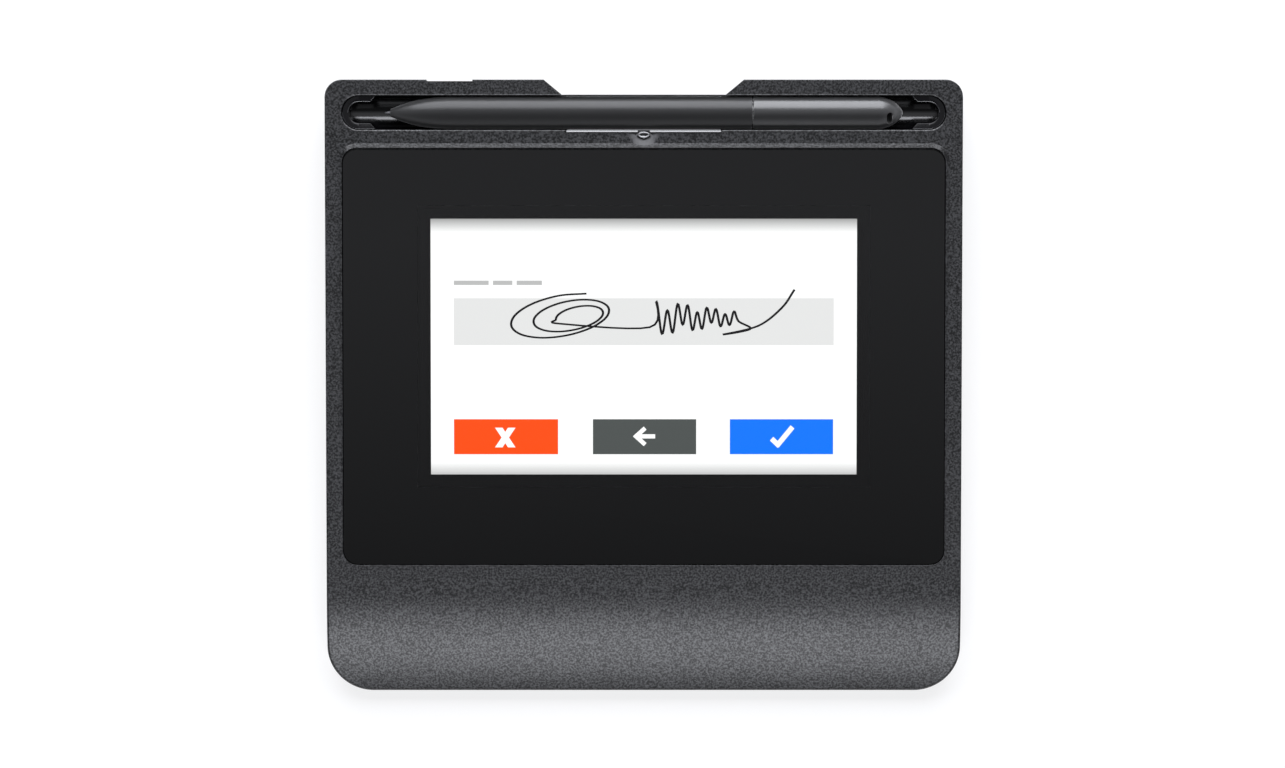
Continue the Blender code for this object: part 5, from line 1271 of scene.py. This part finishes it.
def repeated(shape, places, material, mostTurn=0.0, seed=0):
    unit, points = helperObject(shape), bmesh.new()
    addRings(points, [places])
    bm = fromTree(repeatOnPoints, points, {
        "Shape": unit, "Most turn": radians(mostTurn), "Seed": seed, "Material": material,
    })
    bpy.data.objects.remove(unit)
    return bm


def makeCaseScrews():
    height, edge, length = screw["headHeight"], screw["round"], screw["length"]
    core = screw["shaft"] - screw["thread"]
    profile = [(-height, 0.0)]
    profile += [(x - height + edge, r + screw["head"] - edge) for x, r in arcPoints(0, 0, edge, 180, 90, 4)]
    profile += [(0, screw["head"]), (0, core)]
    for i in range(screw["turns"]):
        start = screw["plainEnd"] + i * screw["pitch"]
        profile += [(start, core), (start + screw["pitch"] / 2, screw["shaft"])]
    profile += [(length - screw["plainEnd"], core), (length, screw["point"]), (length, 0.0)]
    turned = lathe(profile, Vector((0, 0, 0)), screw["sides"])
    upright = moved(turned, Matrix.Rotation(radians(-90), 4, "Y"))
    half, reach = screw["crossWidth"] / 2, screw["crossReach"]
    arms = [prism(rectangle(2 * a, 2 * b), -height - overrun, screw["crossDepth"] - height)
            for a, b in ((half, reach), (reach, half))]
    shape = shaped(upright, *without(*arms))
    places = [(x, y, screwHeadTop) for x, y in screwPlaces]
    bm = repeated(shape, places, surfaces["steel"], screw["mostTurn"], screw["seed"])
    finishPiece(bm, "caseScrews", "case", [surfaces["steel"]], screwNames)


foot = {"edge": 0.3, "edgeSteps": 3, "steps": 14}


def makeFeet():
    boxes = [nodeBox(name) for name in footNames]
    low, high = boxes[0]
    width, length = high.x - low.x, high.y - low.y
    levels = [(foot["edge"] * inward, foot["edge"] * up) for inward, up in quarterShares(foot["edgeSteps"])]
    rings = []
    for inset, height in levels + [(0, high.z)]:
        outline = roundedOutline(width - 2 * inset, length - 2 * inset, length, 0, 0, foot["steps"])
        rings.append([(x, y, height) for x, y in outline])
    places = [((a.x + b.x) / 2, (a.y + b.y) / 2, 0) for a, b in boxes]
    bm = repeated(loft(rings), places, surfaces["rubber"])
    finishPiece(bm, "feet", "case", [surfaces["rubber"]], footNames)


socket = {
    "sheet": 0.3, "corner": 1.4, "contacts": 10, "pitch": 0.5, "contact": (0.25, 3.0, 0.05), "setBack": 0.3,
    "tongueHalf": 0.35,
}


def makeSocket():
    low, high = nodeBox("usb_shell")
    x, z = (low.x + high.x) / 2, (low.z + high.z) / 2
    width, height, sheet = high.x - low.x, high.z - low.z, socket["sheet"]
    shell = acrossWall(roundedOutline(width, height, socket["corner"], x, z), low.y, high.y)
    hollow = acrossWall(
        roundedOutline(width - 2 * sheet, height - 2 * sheet, socket["corner"] - sheet, x, z),
        low.y + sheet, high.y + overrun,
    )
    finishPiece(shaped(shell, *without(hollow)), "usbShell", "case", [surfaces["steel"]],
                ["usb_shell"])
    wide, deep, thick = socket["contact"]
    y = nodeBox("usb_tongue")[1].y - deep / 2 - socket["setBack"]
    places = []
    for side in (-1, 1):
        for i in range(socket["contacts"]):
            along = (i - (socket["contacts"] - 1) / 2) * socket["pitch"]
            places.append((x + along, y, z + side * (socket["tongueHalf"] + thick / 2)))
    contact = prism(rectangle(wide, deep), -thick / 2, thick / 2)
    bm = repeated(contact, places, surfaces["copper"])
    finishPiece(bm, "usbContacts", "case", [surfaces["copper"]])


coil = {"turns": 24, "stepsPerTurn": 24, "wire": 0.15, "sides": 6, "radius": 2.45}


def makeCoil():
    low, high = nodeBox("pen_coil")
    bm = fromTree(coilTree(), bmesh.new(), {
        "Turns": float(coil["turns"]), "Radius": coil["radius"], "Run": high.x - low.x - 2 * coil["wire"],
        "Wire": coil["wire"], "Sides": coil["sides"], "Material": surfaces["copper"],
    })
    middle = (low + high) / 2
    bmesh.ops.translate(bm, verts=bm.verts[:], vec=(low.x + coil["wire"], middle.y, middle.z))
    finishPiece(bm, "penCoil", "pen", [surfaces["copper"]], ["pen_coil"], sharpAngle=60)


makeCaseScrews()
makeFeet()
makeSocket()
makeCoil()
print("repeated pieces ready")


# Finishes with a pattern of their own, for the parts inside
boardLook = {
    "base": (0.012, 0.10, 0.045), "track": (0.03, 0.20, 0.08), "pitch": 1.6, "rings": 3.0, "trackShare": 0.3,
    "roughness": 0.4, "strength": 0.6, "depth": 0.02,
}
ribbonLook = {
    "base": (0.42, 0.19, 0.05), "track": (0.62, 0.36, 0.14), "pitch": 0.5, "trackShare": 0.5,
    "roughness": 0.35, "strength": 0.5, "depth": 0.03,
}


def boardTracks(tree, place):
    scaled = scaledBy(tree, place, 1 / (boardLook["pitch"] * mm))
    cells = addNode(tree, "ShaderNodeTexVoronoi", {"Vector": scaled, "Scale": 1.0, "Randomness": 0.8},
                    feature="F1", distance="CHEBYCHEV").outputs["Distance"]
    rings = calculated(tree, "FRACT", calculated(tree, "MULTIPLY", cells, boardLook["rings"]))
    return calculated(tree, "LESS_THAN", rings, boardLook["trackShare"])


def ribbonTracks(tree, place):
    across = calculated(tree, "DIVIDE", alongAxis(tree, place, "X"), ribbonLook["pitch"] * mm)
    return calculated(tree, "GREATER_THAN", calculated(tree, "FRACT", across), ribbonLook["trackShare"])


def trackedSurface(name, look, tracks):
    material, tree, shader, place = newMaterial(name)
    track = tracks(tree, place)
    feed(tree, shader, {
        "Base Color": mixedColour(tree, track, look["base"], look["track"]), "Roughness": look["roughness"],
        "Normal": bumped(tree, track, look["strength"], look["depth"]),
    })
    return material


surfaces["board"] = trackedSurface("circuitBoard", boardLook, boardTracks)
surfaces["ribbon"] = trackedSurface("flatCable", ribbonLook, ribbonTracks)
innerFinishes = {
    "tape": ["glass_tape"], "diffuser": ["backlight"], "board": ["sensor_board", "main_board", "pen_board"],
    "carrier": ["display_carrier"], "ribbon": ["display_ribbon", "sensor_ribbon"],
    "ferrite": ["ferrite_core"],
    "chip": ["controller_chip", "driver_chip", "usb_tongue", "pressure_sensor"], "label": ["blank_label"],
    "connector": ["display_connector", "sensor_connector", "pen_capacitor"],
    "steel": ["display_bezel", "shield_plate", "lock_plate"]
             + [f"{kind}_screw_{i + 1}" for kind in ("carrier", "board") for i in range(4)],
}
for finish, nodes in innerFinishes.items():
    for node in nodes:
        setSurface(node, surfaces[finish])
print("inner parts painted")


# Floor, light and camera
studio = {
    "floor": 6.0, "floorColour": 0.92, "floorGlow": 0.7, "shadowReach": (0.3, 0.8), "ambient": 0.14,
    "distance": 1.0, "overhead": 0.52, "forward": 0.27, "farForward": 0.08, "horizon": 0.8,
    "frontHorizon": 0.8, "forwardEnds": (-0.14, -0.05), "farEnds": (-0.28, -0.14),
    "horizonEnds": (0.35, 0.75), "frontEnds": (-0.5, 0.0), "tint": (0.93, 0.945, 1.0),
    "rear": {"lean": 61.5, "spread": 27.5, "width": 1.2, "glow": 4.2},
    "rearTop": {"lean": 29.5, "spread": 4.5, "width": 1.2, "glow": 4.2},
    "front": {"lean": -38.0, "spread": 16.0, "width": 0.7, "glow": 3.7},
}


def makeFloor():
    bm = bmesh.new()
    bm.faces.new([bm.verts.new((x, y, 0)) for x, y in rectangle(studio["floor"], studio["floor"])])
    mesh = bpy.data.meshes.new("floor")
    bm.to_mesh(mesh)
    bm.free()
    floor = linked("floor", mesh)
    material = bpy.data.materials.new("paleFloor")
    material.use_nodes = True
    tree = material.node_tree
    tree.nodes.clear()
    paths = addNode(tree, "ShaderNodeLightPath").outputs
    seen = calculated(tree, "MAXIMUM", paths["Is Camera Ray"], paths["Is Glossy Ray"])
    seen = calculated(tree, "MAXIMUM", seen, paths["Is Transmission Ray"])
    # the floor is all white past the object's shadow
    place = addNode(tree, "ShaderNodeTexCoord").outputs["Object"]
    away = addNode(tree, "ShaderNodeVectorMath", {0: place}, operation="LENGTH").outputs["Value"]
    near, far = studio["shadowReach"]
    share = calculated(tree, "MULTIPLY", seen, spread(tree, away, near, far, studio["floorGlow"], 1.0))
    white = studio["floorColour"]
    lit = addNode(tree, "ShaderNodeBsdfDiffuse", {"Color": (white, white, white, 1)}).outputs[0]
    glow = addNode(tree, "ShaderNodeEmission", {"Color": (1, 1, 1, 1), "Strength": 1.0}).outputs[0]
    mixed = addNode(tree, "ShaderNodeMixShader", {0: share, 1: lit, 2: glow}).outputs[0]
    below = addNode(tree, "ShaderNodeNewGeometry").outputs["Backfacing"]
    clear = addNode(tree, "ShaderNodeBsdfTransparent").outputs[0]
    whole = addNode(tree, "ShaderNodeMixShader", {0: below, 1: mixed, 2: clear}).outputs[0]
    addNode(tree, "ShaderNodeOutputMaterial", {"Surface": whole})
    mesh.materials.append(material)


def makeLamp(name):
    look, distance = studio[name], studio["distance"]
    lamp = bpy.data.lights.new(name, "AREA")
    lamp.shape = "RECTANGLE"
    lamp.size = look["width"]
    lamp.size_y = 2 * distance * tan(radians(look["spread"]))
    lamp.energy = look["glow"] * 4 * lamp.size * lamp.size_y
    lamp.color = studio["tint"]
    holder = linked(name, lamp)
    lean = radians(look["lean"])
    holder.location = (0, distance * sin(lean), distance * cos(lean))
    holder.rotation_euler = (-lean, 0, 0)
    holder.visible_camera = False
    return holder


def keepOff(lampHolder, pieceNames):
    # a flag in front of the lamp keeps its light off these pieces
    flagged = bpy.data.collections.new(f"{lampHolder.name}Flag")
    for name in pieceNames:
        flagged.objects.link(bpy.data.objects[name])
    for entry in flagged.collection_objects:
        entry.light_linking.link_state = "EXCLUDE"
    lampHolder.light_linking.receiver_collection = flagged


def makeWorld():
    world = bpy.data.worlds.new("studio")
    bpy.context.scene.world = world
    world.use_nodes = True
    tree = world.node_tree
    tree.nodes.clear()
    paths = addNode(tree, "ShaderNodeLightPath").outputs
    direction = addNode(tree, "ShaderNodeNewGeometry").outputs["Position"]
    axes = addNode(tree, "ShaderNodeSeparateXYZ", {0: direction}).outputs
    forward = spread(tree, axes["Y"], *studio["forwardEnds"], studio["forward"], studio["overhead"])
    far = spread(tree, axes["Y"], *studio["farEnds"], studio["farForward"], studio["overhead"])
    low = spread(tree, axes["Z"], *studio["horizonEnds"], studio["horizon"], 0.0)
    ahead = spread(tree, axes["Y"], *studio["frontEnds"], studio["frontHorizon"], 1.0)
    low = calculated(tree, "MULTIPLY", low, ahead)
    reflected = calculated(tree, "MAXIMUM", calculated(tree, "MINIMUM", forward, far), low)
    seen = calculated(tree, "MAXIMUM", paths["Is Glossy Ray"], paths["Is Transmission Ray"])
    indirect = addNode(tree, "ShaderNodeMix", {0: seen, 2: studio["ambient"], 3: reflected}).outputs[0]
    strength = addNode(tree, "ShaderNodeMix", {0: paths["Is Camera Ray"], 2: indirect, 3: 1.0}).outputs[0]
    colour = mixedColour(tree, paths["Is Camera Ray"], studio["tint"], (1, 1, 1))
    light = addNode(tree, "ShaderNodeBackground", {"Color": colour, "Strength": strength})
    addNode(tree, "ShaderNodeOutputWorld", {"Surface": light.outputs[0]})


viewpoint = {
    "x": -0.32, "y": 0.77, "height": 964.1, "focalPixels": 3752, "imagePixels": 1285, "sensor": 36.0,
    "near": 0.01, "far": 20.0,
}


def makeCamera():
    camera = bpy.data.cameras.new("camera")
    camera.sensor_fit = "HORIZONTAL"
    camera.sensor_width = viewpoint["sensor"]
    camera.lens = viewpoint["focalPixels"] * viewpoint["sensor"] / viewpoint["imagePixels"]
    camera.clip_start, camera.clip_end = viewpoint["near"], viewpoint["far"]
    holder = linked("camera", camera)
    holder.location = (viewpoint["x"] * mm, viewpoint["y"] * mm, viewpoint["height"] * mm)
    bpy.context.scene.camera = holder


penNames = ("penBarrel", "penTail", "penNib")
makeFloor()
keepOff(makeLamp("rear"), ("coverGlass",))
keepOff(makeLamp("rearTop"), ("coverGlass", *penNames))
keepOff(makeLamp("front"), ("coverGlass", *penNames, "penTray"))
makeWorld()
makeCamera()
bpy.context.scene.view_settings.view_transform = "Standard"
print("studio ready")
